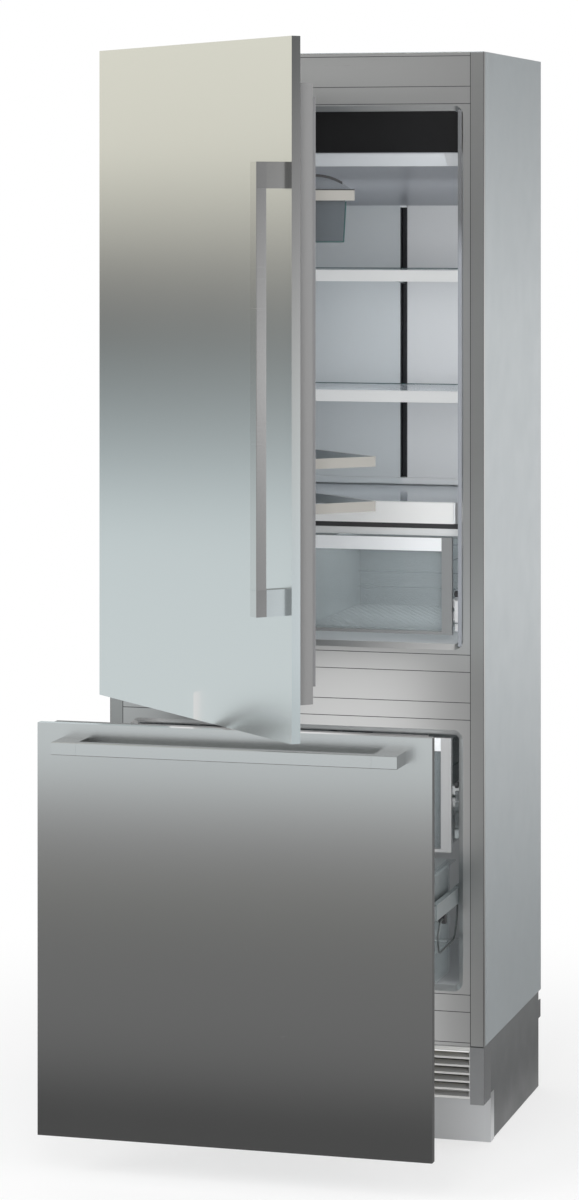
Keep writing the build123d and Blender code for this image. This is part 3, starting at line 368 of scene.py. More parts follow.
# painted shade: the liners' down-facing faces are darker
liner_white.shaded(liner_white.facing(DOWN), (0.34, 0.355, 0.38))
casing_grey = moulded("casing_grey", (0.20, 0.20, 0.20), 0.45, pores=700.0)
gasket_rubber = moulded("gasket_rubber", (0.20, 0.20, 0.205), 0.62, pores=600.0, bump=0.15)
seam_dark = moulded("seam_dark", (0.035, 0.035, 0.037), 0.6, pores=600.0)
black_matt = moulded("black_matt", (0.025, 0.026, 0.03), 0.5)
strip_grey = moulded("strip_grey", (0.68, 0.695, 0.70), 0.25, pores=300.0, bump=0.02)
slide_white = moulded("slide_white", (0.80, 0.81, 0.82), 0.35, pores=500.0)
fan_black = moulded("fan_black", (0.04, 0.04, 0.042), 0.42)
tray_dark = moulded("tray_dark", (0.12, 0.12, 0.13), 0.5)
lip_grey = moulded("lip_grey", (0.28, 0.295, 0.325), 0.35, pores=500.0, bump=0.03)
# painted shade: the liner's lip turns dark towards the top of the opening
lip_grey.shaded(lip_grey.along("Z", 1.73, 1.80), (0.12, 0.124, 0.13))

# glass and clear plastic
pane_glass = clear("pane_glass", (0.70, 0.74, 0.78), 0.09, 0.62, ripple=8.0, bump=0.005)
window_glass = clear("window_glass", (0.55, 0.62, 0.65), 0.04, 0.12)
tub_clear = clear("tub_clear", (0.50, 0.57, 0.59), 0.14, 0.18, ripple=60.0, bump=0.01)
tray_clear = clear("tray_clear", (0.55, 0.60, 0.63), 0.10, 0.40, ripple=60.0, bump=0.04)
# painted shade: the crisper's beads get a darker tint than the tub so that they show as faint lines
rib_clear = clear("rib_clear", (0.24, 0.28, 0.30), 0.12, 0.45, ripple=120.0, bump=0.02)
edge_clear = clear("edge_clear", (0.03, 0.085, 0.085), 0.10, 0.92, ripple=120.0, bump=0.02)
dairy_clear = clear("dairy_clear", (0.09, 0.105, 0.118), 0.10, 0.72, ripple=60.0, bump=0.04)
lid_clear = clear("lid_clear", (0.60, 0.66, 0.68), 0.06, 0.12, ripple=20.0)
carrier_clear = clear("carrier_clear", (0.74, 0.80, 0.81), 0.12, 0.50, ripple=120.0, bump=0.02)
slide_clear = clear("slide_clear", (0.66, 0.72, 0.73), 0.12, 0.50, ripple=120.0, bump=0.02)
# painted shade: the tray carriers are dark on their upper parts
slide_clear.shaded(slide_clear.along("Z", 0.605, 0.625), (0.16, 0.18, 0.185))


def gloss_black():
    paint = Paint("black_gloss", (0.010, 0.010, 0.0105), 0.20, Specular_IOR_Level=0.18)
    paint.tone(paint.noise((40.0,) * 3), 0.1)
    return paint.rough(paint.noise((9.0,) * 3, detail=4.0), 0.17, 0.24)


def zinc_sheet():
    """Hot dipped sheet: spangles of slightly different shade."""
    paint = Paint("zinc_sheet", (0.55, 0.57, 0.58), 0.42, 0.85)
    spangle = paint.cells((70.0,) * 3)
    paint.tone(spangle.outputs["Color"], 0.10)
    paint.rough(paint.noise((60.0,) * 3, detail=4.0), 0.36, 0.48)
    return paint.bump((spangle.outputs["Distance"], 0.04, 0.0003))


def foam_fill():
    paint = Paint("foam_fill", (0.80, 0.72, 0.48), 0.9)
    pores = paint.cells((420.0,) * 3)
    paint.tone(paint.noise((20.0,) * 3, detail=5.0), 0.08)
    return paint.bump((pores.outputs["Distance"], 0.5, 0.001))


def fin_pack():
    """Bare aluminium fins with drawn tube collars."""
    paint = Paint("fin_pack", (0.66, 0.67, 0.68), 0.38, 1.0)
    paint.tone(paint.noise((90.0, 90.0, 25.0), detail=4.0), 0.08)
    paint.rough(paint.noise((160.0, 160.0, 60.0)), 0.3, 0.46)
    return paint.bump((paint.noise((30.0, 500.0, 12.0), detail=2.0), 0.12, 0.0004))


def lamp_milk():
    """A milky cover, brighter towards its right end."""
    paint = Paint("lamp_milk", (0.40, 0.42, 0.44), 0.45)
    paint.set("Emission Color", (0.95, 0.98, 1.0, 1.0))
    glow = paint.remap(paint.along("X", -0.30, 0.32), 0.015, 0.30, 0.0, 1.0)
    paint.link(glow, paint.bsdf.inputs["Emission Strength"])
    paint.tone(paint.noise((30.0, 90.0, 90.0)), 0.02)
    return paint.bump((paint.noise((700.0,) * 3), 0.05, 0.0002))


LOOKS = {
    door_steel: ["door_panel"],
    drawer_steel: ["drawer_panel"],
    side_coat: ["outer_wrap"],
    zinc_sheet(): ["back_panel"],
    column_steel: ["columns"],
    trim_steel: ["face_trims"],
    bracket_steel: ["corner_brackets"],
    grille_steel: ["vent_grille"],
    kick_steel: ["toe_kick"],
    handle_metal: ["door_handle_bar"],
    handle_block: ["door_handle_ends"],
    handle_level: ["drawer_handle_bar", "drawer_handle_ends"],
    liner_white: ["fridge_liner", "freezer_liner", "door_liner"],
    casing_grey: ["inner_door", "drawer_inner"],
    gasket_rubber: ["door_gasket", "drawer_gasket"],
    cover_metal: ["duct_cover", "freezer_back_wall"],
    shelf_metal: ["shelf_trims"],
    rim_metal: ["tray_rims"],
    post_metal: ["crisper_front"],
    tray_post: ["freezer_tray_front"],
    pane_glass: ["shelf_glass"],
    window_glass: ["crisper_glass", "freezer_tray_glass"],
    tub_clear: ["crisper_tub", "freezer_tray_tub", "freezer_tub"],
    tray_clear: ["door_trays"],
    dairy_clear: ["dairy_box"],
    lid_clear: ["dairy_lid"],
    gloss_black(): ["control_panel"],
    black_matt: ["shelf_rails", "power_inlet", "levelling_feet"],
    lamp_milk(): ["light_diffuser"],
    strip_grey: ["control_strip"],
    slide_white: ["drawer_slides"],
    rail_zinc: ["rail_outer", "rail_middle", "rail_inner", "shelf_brackets"],
    hinge_steel: ["hinge_arms", "hinge_pins", "hinge_bushes"],
    base_coat: ["base_frame", "rear_brackets"],
    machine_black: ["compressor"],
    fan_black: ["evaporator_fan", "condenser_fan"],
    tray_dark: ["drip_tray"],
    foam_fill(): ["insulation", "door_insulation", "drawer_insulation"],
    fin_pack(): ["condenser", "evaporator"],
}
for paint, names in LOOKS.items():
    for name in names:
        nodes[name].data.materials.clear()
        nodes[name].data.materials.append(paint.mat)


# ------ mesh helpers
SIDES = (-1, 1)


def both(half):
    return (-half, half)


def span(middle, length):
    return (middle - length / 2, middle + length / 2)


def mid(limits):
    return (limits[0] + limits[1]) / 2


def size(limits):
    return limits[1] - limits[0]


def mirrored(side, low, high):
    """Limits between two distances from the middle, on the left (-1) or the right (1)."""
    return sorted((side * low, side * high))


def brick(bm, x, y, z, edge=0.0):
    """A box between limits, with its edges broken."""
    place = Matrix.Translation((mid(x), mid(y), mid(z))) @ Matrix.Diagonal((size(x), size(y), size(z), 1.0))
    made = bmesh.ops.create_cube(bm, size=1.0, matrix=place)
    if edge:
        edges = list({e for v in made["verts"] for e in v.link_edges})
        bmesh.ops.bevel(bm, geom=edges, offset=edge, segments=2, affect="EDGES", profile=0.5)


def circle(bm, centre, a, b, radius, segments):
    """A ring of vertices about a centre, in the plane of two unit vectors."""
    turns = [2 * math.pi * n / segments for n in range(segments)]
    return [bm.verts.new(centre + (a * math.cos(turn) + b * math.sin(turn)) * radius) for turn in turns]


def skin(bm, rings, closed=False):
    """Faces from ring to ring, with a cap on both ends unless the rings close up."""
    following = rings[1:] + rings[:1] if closed else rings[1:]
    for low, high in zip(rings, following):
        for k in range(len(low)):
            m = (k + 1) % len(low)
            bm.faces.new((low[k], low[m], high[m], high[k]))
    if not closed:
        bm.faces.new(rings[0][::-1])
        bm.faces.new(rings[-1])


def turned(bm, start, end, profile, segments=20):
    """A turned shape about a line; its profile is (share of the length, radius) pairs."""
    start, end = Vector(start), Vector(end)
    line = end - start
    to_axis = line.to_track_quat("Z", "Y").to_matrix()
    a, b = to_axis.col[0], to_axis.col[1]
    skin(bm, [circle(bm, start + line * share, a, b, radius, segments) for share, radius in profile])


def rod(bm, start, end, radius, segments=16):
    turned(bm, start, end, [(0.0, radius), (1.0, radius)], segments)


def rounded_path(points, bend, steps=6):
    """The points with each inner corner replaced by an arc-like curve."""
    points = [Vector(p) for p in points]
    path = [points[0]]
    for before, corner, after in zip(points, points[1:], points[2:]):
        cut = min(bend, (before - corner).length / 2, (after - corner).length / 2)
        start = corner + (before - corner).normalized() * cut
        end = corner + (after - corner).normalized() * cut
        for n in range(steps + 1):
            t = n / steps
            path.append(start * (1 - t) ** 2 + corner * 2 * t * (1 - t) + end * t ** 2)
    return path + [points[-1]]


def tube(bm, points, radius, bend=8.0, segments=10):
    """A bent round bar through the points."""
    path = rounded_path(points, bend)
    rings = []
    side = None
    for n, point in enumerate(path):
        ahead = (path[min(n + 1, len(path) - 1)] - path[max(n - 1, 0)]).normalized()
        if side is None:
            side = ahead.orthogonal().normalized()
        side = (side - ahead * side.dot(ahead)).normalized()
        rings.append(circle(bm, point, side, ahead.cross(side), radius, segments))
    skin(bm, rings)


def hoop(bm, centre, radius, wire, segments=40, around=8):
    """A ring of round wire about the Y axis."""
    rings = []
    for n in range(segments):
        turn = 2 * math.pi * n / segments
        out = Vector((math.cos(turn), 0.0, math.sin(turn)))
        rings.append(circle(bm, centre + out * radius, out, Vector((0.0, 1.0, 0.0)), wire, around))
    skin(bm, rings, closed=True)


SCREW_HEAD = ((0.0, 1.0), (0.45, 1.0), (0.85, 0.75), (1.0, 0.4))


def screw(bm, at, out, radius=4.0, height=2.0):
    """A pan head screw that stands out from a face."""
    at, out = Vector(at), Vector(out)
    profile = [(share, radius * width) for share, width in SCREW_HEAD]
    turned(bm, at, at + out * height, profile, 14)


def piece(name, body, paint, draw):
    """Makes one piece from a function that draws into an empty mesh."""
    bm = bmesh.new()
    draw(bm)
    bmesh.ops.recalc_face_normals(bm, faces=bm.faces)
    mesh = bpy.data.meshes.new(name)
    bm.to_mesh(mesh)
    bm.free()
    mesh.transform(PLACE[body])
    mesh.materials.append(paint.mat)
    obj = bpy.data.objects.new(name, mesh)
    bpy.context.scene.collection.objects.link(obj)
    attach(obj, body)
    return obj


def smooth(obj, angle=35.0):
    """Round faces are shaded smooth up to an angle."""
    for face in obj.data.polygons:
        face.use_smooth = True
    obj.data.set_sharp_from_angle(angle=math.radians(angle))
    return obj


# ------ face: seams, grille, crisper cover
FREEZER_FRAME = (299.0, 830.7)
FRIDGE_FRAME = (956.6, 2023.8)
STRIP_HEIGHT = 33.4
PLATE_HEIGHT = 59.2
OPENING_HALF = 328.4
SEAM_WIDTH = 1.3
SEAM_DEPTH = (-0.15, 0.4)
WRAP_SEAM_WIDTH = 0.9
WRAP_SEAM_INSET = 0.998
FOOT_SEAM_WIDTH = 2.4


def seam_levels():
    low, high = FREEZER_FRAME
    below = [low, low - STRIP_HEIGHT, low - STRIP_HEIGHT - PLATE_HEIGHT]
    between = [high, high + STRIP_HEIGHT, FRIDGE_FRAME[0] - STRIP_HEIGHT, FRIDGE_FRAME[0]]
    top = FRIDGE_FRAME[1]
    return below + between + [top, top + STRIP_HEIGHT, top + STRIP_HEIGHT + PLATE_HEIGHT]


def trim_seams(bm):
    """The dark shadow lines between the face trims."""
    x, _, z = drawn("face_trims")
    for at in seam_levels():
        brick(bm, x, SEAM_DEPTH, span(at, SEAM_WIDTH))
    for at in x:
        brick(bm, span(at, SEAM_WIDTH), SEAM_DEPTH, z)
    wrap_x, _, wrap_z = drawn("outer_wrap")
    for at in wrap_x:
        brick(bm, span(at * WRAP_SEAM_INSET, WRAP_SEAM_WIDTH), SEAM_DEPTH, wrap_z)
    for low, high in (wrap_x[0], x[0]), (x[1], wrap_x[1]):
        brick(bm, (low + 0.5, high - 0.5), SEAM_DEPTH, span(wrap_z[0], FOOT_SEAM_WIDTH))


GRILLE_SLOTS = 6
GRILLE_TOP_SLOT = 184.4
GRILLE_PITCH = 15.2
GRILLE_SLOT = 11.2
GRILLE_LIP = 0.9


def grille_lips(bm):
    """Rolled lips on the bands of the grille; their brighter steel is a painted highlight."""
    x, _, z = drawn("vent_grille")
    edges = [z[1] - 1.5]
    for n in range(GRILLE_SLOTS):
        middle = GRILLE_TOP_SLOT - n * GRILLE_PITCH
        edges += [middle + GRILLE_SLOT / 2, middle - GRILLE_SLOT / 2]
    edges += [z[0] + 1.0]
    for high, low in zip(edges[0::2], edges[1::2]):
        brick(bm, x, (-GRILLE_LIP, 0.0), (low, high), edge=0.4)


def cover_gap_shade(bm):
    """A black strip in the gap between the control strip and the crisper's cover, painted shade in that gap.
    """
    x, y, z = drawn("control_strip")
    gap, lip, proud = 5.8, 4.0, 0.8
    width = (x[0] + 0.3, x[1] - 0.3)
    brick(bm, width, (y[0] + 1.0, y[1] - 8.0), (z[1] + 0.1, z[1] + gap))
    brick(bm, width, (y[0] - proud, y[0]), (z[1] - lip, z[1] + gap))


CAP_BACK = 27.0
CAP_RISE = (0.3, 40.7)


def cover_caps(start, end, front):
    """Caps on the ends of the cover's trim, between two distances from the middle."""
    def draw(bm):
        _, _, z = drawn("shelf_trims")
        levels = tuple(z[0] + rise for rise in CAP_RISE)
        for side in SIDES:
            brick(bm, mirrored(side, start, end), (front, CAP_BACK), levels, edge=0.4)
    return draw


LIP_WIDTH = 8.0
LIP_DEPTH = (-0.12, 0.4)


def liner_lip(bm):
    """The liner's rolled lip along both sides of the fridge opening."""
    z = (FRIDGE_FRAME[0] + 16.0, FRIDGE_FRAME[1] - 12.0)
    for side in SIDES:
        brick(bm, mirrored(side, OPENING_HALF + 0.4, OPENING_HALF + LIP_WIDTH), LIP_DEPTH, z)


piece("liner_lip", "cabinet", lip_grey, liner_lip)
piece("trim_seams", "cabinet", seam_dark, trim_seams)
piece("grille_lips", "cabinet", lip_steel, grille_lips)
# painted shade: a black strip in the gap under the crisper's cover
piece("cover_gap_shade", "cabinet", seam_dark, cover_gap_shade)
piece("cover_caps", "cabinet", bright_trim, cover_caps(316.3, 320.0, 15.2))
piece("cover_ends", "cabinet", post_metal, cover_caps(320.2, 328.0, 17.0))


# ------ shelf rails
RAIL_X = 106.0
RAIL_WIDTH = 14.0
SLOT_PITCH = 25.0
SLOT_WIDTH = 3.2
SLOT_HEIGHT = 13.0
RUNG_WIDTH = 7.0
RUNG_HEIGHT = 1.2
SHELF_TOPS = (1697.8, 1458.0)
SHELF_HALF = 322.0


def rail_caps(bm):
    """White caps over the upper ends of the shelf rails."""
    _, y, z = drawn("shelf_rails")
    for x in both(RAIL_X):
        brick(bm, span(x, RAIL_WIDTH + 0.8), (y[0] - 3.5, y[0] - 0.1), (z[1] - 2.5, z[1] + 1.6), edge=0.4)


def rail_steps(bm):
    """The ladder of hook slots on the web of each rail."""
    _, y, z = drawn("shelf_rails")
    web = y[1] - 2.5
    for x in both(RAIL_X):
        for n in range(int(size(z) / SLOT_PITCH)):
            middle = z[0] + (n + 0.5) * SLOT_PITCH
            brick(bm, span(x, SLOT_WIDTH), (web - 0.5, web), span(middle, SLOT_HEIGHT))
            brick(bm, span(x, RUNG_WIDTH), (web - 0.9, web), span(middle + SLOT_PITCH / 2, RUNG_HEIGHT))


def pane_edges(bm):
    """The deep tint of the glass along the rear edges of the shelves."""
    _, y, _ = drawn("shelf_glass")
    for top in SHELF_TOPS:
        brick(bm, both(SHELF_HALF), (y[1] + 0.1, y[1] + 1.3), (top - 5.0, top - 1.0))


piece("pane_edges", "cabinet", edge_clear, pane_edges)
piece("rail_caps", "cabinet", liner_white, rail_caps)
piece("rail_steps", "cabinet", black_matt, rail_steps)


# ------ crisper and freezer tray
FRONT_SIDE_BAND = 20.5
FRONT_TOP_BAND = 26.0
TUB_HALF = {"crisper_tub": 294.0, "freezer_tray_tub": 298.0, "freezer_tub": 300.0}
TUB_WALL = 2.5
BEAD_HEIGHT = 2.0
BEAD_DEPTH = 1.2


def top_rail(node, body):
    """A bright rail between the posts of a drawer front."""
    def draw(bm):
        x, y, z = drawn(node, body)
        rail_x = (x[0] + FRONT_SIDE_BAND + 0.2, x[1] - FRONT_SIDE_BAND - 0.2)
        brick(bm, rail_x, (y[0] - 0.7, y[0]), (z[1] - FRONT_TOP_BAND, z[1] - 0.3), edge=0.25)
    return draw


def tub_ribs(node, body, levels):
    """Stiffening beads round the inside of a tub, levels above its floor."""
    def draw(bm):
        _, y, z = drawn(node, body)
        half = TUB_HALF[node] - TUB_WALL
        back = y[1] - TUB_WALL
        for rise in levels:
            bead = span(z[0] + rise, BEAD_HEIGHT)
            brick(bm, both(half), (back - BEAD_DEPTH, back), bead)
            for side in SIDES:
                brick(bm, mirrored(side, half - BEAD_DEPTH, half), (y[0] + 4.0, back - BEAD_DEPTH), bead)
    return draw


MAT_MARGIN = 8.0
MAT_THICKNESS = 1.2
DOT_PITCH = 15.0
DOT_HEIGHT = 0.9
DOT_PROFILE = ((0.0, 2.6), (0.7, 2.1), (1.0, 1.0))


def crisper_mat(bm):
    """A mat with raised dots on the crisper's floor."""
    _, y, z = drawn("crisper_tub", "crisper")
    floor = z[0] + 2.8
    top = floor + MAT_THICKNESS
    mat_y = (y[0] + MAT_MARGIN, y[1] - MAT_MARGIN)
    half = TUB_HALF["crisper_tub"] - MAT_MARGIN
    brick(bm, both(half), mat_y, (floor, top))
    for row in range(int(size(mat_y) / DOT_PITCH)):
        y_dot = mat_y[0] + (row + 0.5) * DOT_PITCH
        for column in range(int(2 * half / DOT_PITCH)):
            x_dot = -half + (column + 0.75 + 0.5 * (row % 2)) * DOT_PITCH
            turned(bm, (x_dot, y_dot, top), (x_dot, y_dot, top + DOT_HEIGHT), DOT_PROFILE, 8)


BESIDE_FINS = (318.6, 327.6)
SLIDE_END_STEPS = ((12.5, 1017.0, 1060.0, 1.6), (9.0, 1000.0, 1014.0, 1.2))
CARRIER_STEPS = (
    (12.0, 598.0, 616.0, 1.5),
    (8.0, 618.0, 650.0, 1.5),
    (13.0, 652.0, 668.0, 1.5),
    (9.0, 670.0, 690.0, 1.5),
)
WHEEL_LEVELS = (1072.0, 702.0)
WHEEL_REACH = (318.0, 326.0)
SMALL_WHEEL = ((0.0, 5.2), (0.2, 6.4), (0.8, 6.4), (1.0, 5.2))


def slide_steps(steps):
    """Blocks in front of the slides, from (reach, low, high, edge) rows."""
    def draw(bm):
        _, y, _ = drawn("drawer_slides")
        for side in SIDES:
            x = mirrored(side, *BESIDE_FINS)
            for reach, low, high, edge in steps:
                brick(bm, x, (y[0] - reach, y[0] - 0.3), (low, high), edge=edge)
    return draw


def runner_wheels(bm):
    _, y, _ = drawn("drawer_slides")
    for side in SIDES:
        for level in WHEEL_LEVELS:
            start, end = ((side * x, y[0] - 6.0, level) for x in WHEEL_REACH)
            turned(bm, start, end, SMALL_WHEEL)


def crisper_divider(bm):
    """A clear partition across the crisper."""
    _, y, z = drawn("crisper_tub", "crisper")
    brick(bm, span(18.0, 2.4), (y[0] + 3.0, y[1] - 3.0), (z[0] + 4.2, z[1] - 8.0), edge=0.4)


piece("crisper_divider", "crisper", carrier_clear, crisper_divider)
for name, body, front in (
    ("crisper_rail", "crisper", "crisper_front"),
    ("tray_rail", "freezer_tray", "freezer_tray_front"),
):
    piece(name, body, bright_trim, top_rail(front, body))
for name, body, paint, tub, levels in (
    ("crisper_ribs", "crisper", rib_clear, "crisper_tub", (40.0, 71.0, 130.0)),
    ("tray_ribs", "freezer_tray", carrier_clear, "freezer_tray_tub", (50.0, 150.0)),
    ("tub_ribs", "freezer_drawer", carrier_clear, "freezer_tub", (60.0, 150.0)),
):
    piece(name, body, paint, tub_ribs(tub, body, levels))
smooth(piece("crisper_mat", "crisper", carrier_clear, crisper_mat))
smooth(piece("runner_ends", "cabinet", slide_white, slide_steps(SLIDE_END_STEPS)))
smooth(piece("runner_wheels", "cabinet", fan_black, runner_wheels))
smooth(piece("tray_carriers", "cabinet", slide_clear, slide_steps(CARRIER_STEPS)))


# ------ freezer drawer
WIRE_X = 320.0
WIRE_RADIUS = 1.9
ARM_X = 311.4
WHEEL_PLACE = (283.0, 460.0)
WHEEL_HALF = 4.5
WHEEL_PROFILE = ((0.0, 8.0), (0.15, 9.5), (0.85, 9.5), (1.0, 8.0))
WIRE_ROUTE = (
    (398.0, 470.0),
    (391.0, 438.0),
    (370.0, 405.0),
    (240.0, 402.0),
    (228.0, 433.0),
    (256.0, 464.0),
    WHEEL_PLACE,
)


def drawer_wheels(bm):
    """Support wheels under the rails, each on an arm beside them."""
    y, z = WHEEL_PLACE
    for side in SIDES:
        inner, outer = side * (WIRE_X - WHEEL_HALF), side * (WIRE_X + WHEEL_HALF)
        turned(bm, (inner, y, z), (outer, y, z), WHEEL_PROFILE, 24)
        rod(bm, (side * ARM_X, y, z), (inner, y, z), 3.0, 12)
        brick(bm, span(side * ARM_X, 2.0), span(y, 12.0), (z - 6.0, z + 22.0), edge=0.4)


def drawer_wires(bm):
    """Bent steadying wires that hang from the rails beside the tub."""
    for side in SIDES:
        tube(bm, [(side * WIRE_X, y, z) for y, z in WIRE_ROUTE], WIRE_RADIUS, bend=14.0)


smooth(piece("drawer_wheels", "freezer_drawer", fan_black, drawer_wheels))
smooth(piece("drawer_wires", "freezer_drawer", wire_steel, drawer_wires))


# ------ door
RIM_HALF = 295.5
RIM_SHEET = 2.0
DAIRY_RIM_TOP = 1854.7
DAIRY_REACH = (6.0, 118.0)
SEAL_HEIGHT = 2.4
LID_ARC = ((13.0, 1880.0), (65.0, 1880.0), (115.0, 1857.0))
LID_HALF = 283.7
LID_EDGE = ((0.1, -3.4), (1.6, -3.4), (1.6, 1.4), (0.1, 1.4))
LID_EDGE_REACH = (24.0, 98.0)
DAIRY_HALF = 284.0
DAIRY_TUB = (1760.0, 1834.0)
DAIRY_TUB_REACH = (12.0, 104.0)
DAIRY_TAPER = 3.0
EDGE_WIRE = 1.1
TRAY_BOTTOMS = (1262.8, 1345.4)
TRAY_FRONT = 163.0
TRAY_RIBS = 9
TRAY_RIB_PITCH = 60.0
ARM_LEVELS = (895.0, 2090.0)
ARM_SCREW_X = -366.0


def arc_through(start, over, end, steps):
    """Points on the circle through three points of a plane."""
    (ax, ay), (bx, by), (cx, cy) = start, over, end
    d = 2 * (ax * (by - cy) + bx * (cy - ay) + cx * (ay - by))
    a2, b2, c2 = ax * ax + ay * ay, bx * bx + by * by, cx * cx + cy * cy
    ux = (a2 * (by - cy) + b2 * (cy - ay) + c2 * (ay - by)) / d
    uy = (a2 * (cx - bx) + b2 * (ax - cx) + c2 * (bx - ax)) / d
    radius = math.hypot(ax - ux, ay - uy)
    first = math.atan2(ay - uy, ax - ux)
    last = math.atan2(cy - uy, cx - ux)
    turns = [first + (last - first) * n / steps for n in range(steps + 1)]
    return [(ux + radius * math.cos(t), uy + radius * math.sin(t)) for t in turns]


def lid_edges(bm):
    """Dark edge strips at the ends of the dairy lid."""
    first, last = LID_EDGE_REACH
    arc = [point for point in arc_through(*LID_ARC, 24) if first < point[0] < last]
    for side in SIDES:
        skin(bm, [
            [bm.verts.new((side * (LID_HALF + out), y, z + up)) for out, up in LID_EDGE]
            for y, z in arc
        ])


def rim_seal(bm):
    """A dark bead on the dairy box's rim, where the lid lands."""
    back, front = DAIRY_REACH
    z = (DAIRY_RIM_TOP, DAIRY_RIM_TOP + SEAL_HEIGHT)
    for side in SIDES:
        brick(bm, mirrored(side, RIM_HALF - RIM_SHEET, RIM_HALF), (back + 4.0, front - 2.0), z)
    brick(bm, both(RIM_HALF - 3.0), (front - RIM_SHEET, front), z)


def dairy_edges(bm):
    """The deep tint of clear plastic along the edges of the dairy box."""
    low, high = DAIRY_TUB
    back, front = DAIRY_TUB_REACH
    foot_half, foot_front = DAIRY_HALF - DAIRY_TAPER, front - DAIRY_TAPER + 0.3
    for side in SIDES:
        top = (side * (DAIRY_HALF + 0.3), front + 0.3, high)
        foot = (side * (foot_half + 0.3), foot_front, low)
        rod(bm, foot, top, EDGE_WIRE, 8)
        rod(bm, foot, (foot[0], back, low), EDGE_WIRE, 8)
    rod(bm, (-foot_half, foot_front, low), (foot_half, foot_front, low), EDGE_WIRE, 8)


def door_tray_ribs(bm):
    """Low ribs on the floors of the door trays."""
    for bottom in TRAY_BOTTOMS:
        floor = bottom + 2.5
        for n in range(TRAY_RIBS):
            x = (n - (TRAY_RIBS - 1) / 2) * TRAY_RIB_PITCH
            brick(bm, span(x, 2.4), (14.0, TRAY_FRONT - 8.0), (floor, floor + 1.6), edge=0.4)


def arm_screws(bm):
    """Screws in the feet of the hinge arms."""
    for level in ARM_LEVELS:
        for rise in both(16.0):
            screw(bm, (ARM_SCREW_X, -3.0, level + rise), (0, -1, 0), radius=4.5, height=2.2)


piece("lid_edges", "lid", seam_dark, lid_edges)
piece("rim_seal", "door", seam_dark, rim_seal)
smooth(piece("dairy_edges", "door", edge_clear, dairy_edges))
piece("door_tray_ribs", "door", tray_clear, door_tray_ribs)
smooth(piece("arm_screws", "cabinet", screw_steel, arm_screws))


# ------ machinery
GUARD_WIRE = 1.1
COIL_LIMITS = {
    "condenser": ((-200.0, 200.0), (105.0, 145.0), (22.0, 172.0)),
    "evaporator": ((-260.0, 260.0), (458.0, 498.0), (350.0, 530.0)),
}
POT = (-170.0, 400.0)
DISCHARGE_RUN = -50.0
SUCTION_RUN = -30.0
PIPE_LEVEL = 114.0
LOW_LEVEL = 60.0
PIPE_BEND = 16.0
DRIER = ((0.0, 3.4), (0.16, 10.0), (0.84, 10.0), (1.0, 3.4))


def fan_guard(node, gap):
    """Wire rings and spokes in front of a fan."""
    def draw(bm):
        x, y, z = drawn(node)
        centre = Vector((mid(x), y[0] - gap, mid(z)))
        full = size(x) / 2
        for share in (0.25, 0.5, 0.75, 1.0):
            hoop(bm, centre, full * share, GUARD_WIRE)
        for n in range(6):
            turn = math.pi / 3 * n
            out = Vector((math.cos(turn), 0.0, math.sin(turn))) * full
            rod(bm, centre + out * 0.2, centre + out, GUARD_WIRE, 8)
    return draw


def coil_bends(node, rows=4, radius=4.0):
    """Return bends that join the tubes of a coil at its ends."""
    def draw(bm):
        (left, right), y, z = COIL_LIMITS[node]
        near, far = (y[0] + size(y) * share for share in (0.25, 0.75))
        levels = [z[0] + size(z) * (n + 0.5) / rows for n in range(rows)]
        for level in levels:
            route = ((right, near), (right + 11.0, near), (right + 11.0, far), (right, far))
            tube(bm, [(x, row, level) for x, row in route], radius, 9.0)
        for n, (low, high) in enumerate(zip(levels, levels[1:])):
            row = (near, far)[n % 2]
            route = ((left, low), (left - 12.0, low), (left - 12.0, high), (left, high))
            tube(bm, [(x, row, level) for x, level in route], radius, 10.0)
    return draw


def compressor_pipes(bm):
    """Discharge and suction pipes, and the drier in the discharge line."""
    x, y = POT
    stub = x + 80.0
    discharge = [
        (stub, y + 24.0, PIPE_LEVEL),
        (DISCHARGE_RUN, y + 24.0, PIPE_LEVEL),
        (DISCHARGE_RUN, y + 24.0, LOW_LEVEL),
        (DISCHARGE_RUN, 230.0, LOW_LEVEL),
        (-150.0, 230.0, LOW_LEVEL),
        (-150.0, 138.0, 41.0),
        (-214.0, 138.0, 41.0),
    ]
    suction = [
        (stub, y - 24.0, PIPE_LEVEL),
        (SUCTION_RUN, y - 24.0, PIPE_LEVEL),
        (SUCTION_RUN, y - 24.0, 198.0),
    ]
    tube(bm, discharge, 3.2, PIPE_BEND)
    tube(bm, suction, 4.2, PIPE_BEND)
    turned(bm, (DISCHARGE_RUN, 350.0, LOW_LEVEL), (DISCHARGE_RUN, 270.0, LOW_LEVEL), DRIER)


def compressor_cover(bm):
    """The terminal cover on the compressor's side, with its clip."""
    x, y = POT
    brick(bm, (x + 54.0, x + 80.0), span(y, 44.0), (58.0, 104.0), edge=3.0)
    brick(bm, (x + 79.5, x + 82.0), span(y, 8.0), (54.0, 106.0), edge=0.6)


BEADS = 5
BEAD_WIDTH = 16.0
BEAD_RISE = 1.4
SCREW_MARGIN = 14.0
SIDE_SCREWS = 9


def back_ribs(bm):
    """Pressed beads that stiffen the rear sheet."""
    x, y, z = drawn("back_panel")
    for n in range(BEADS):
        middle = x[0] + size(x) * (n + 0.5) / BEADS
        brick(bm, span(middle, BEAD_WIDTH), (y[1], y[1] + BEAD_RISE), (z[0] + 120.0, z[1] - 60.0), edge=1.2)


def back_screws(bm):
    """A row of screws along each edge of the rear sheet."""
    x, y, z = drawn("back_panel")
    for n in range(SIDE_SCREWS):
        level = z[0] + SCREW_MARGIN + (size(z) - 2 * SCREW_MARGIN) * n / (SIDE_SCREWS - 1)
        for edge in (x[0] + SCREW_MARGIN, x[1] - SCREW_MARGIN):
            screw(bm, (edge, y[1], level), (0, 1, 0))
    for n in range(1, 4):
        for level in (z[0] + SCREW_MARGIN, z[1] - SCREW_MARGIN):
            screw(bm, (x[0] + size(x) * n / 4, y[1], level), (0, 1, 0))


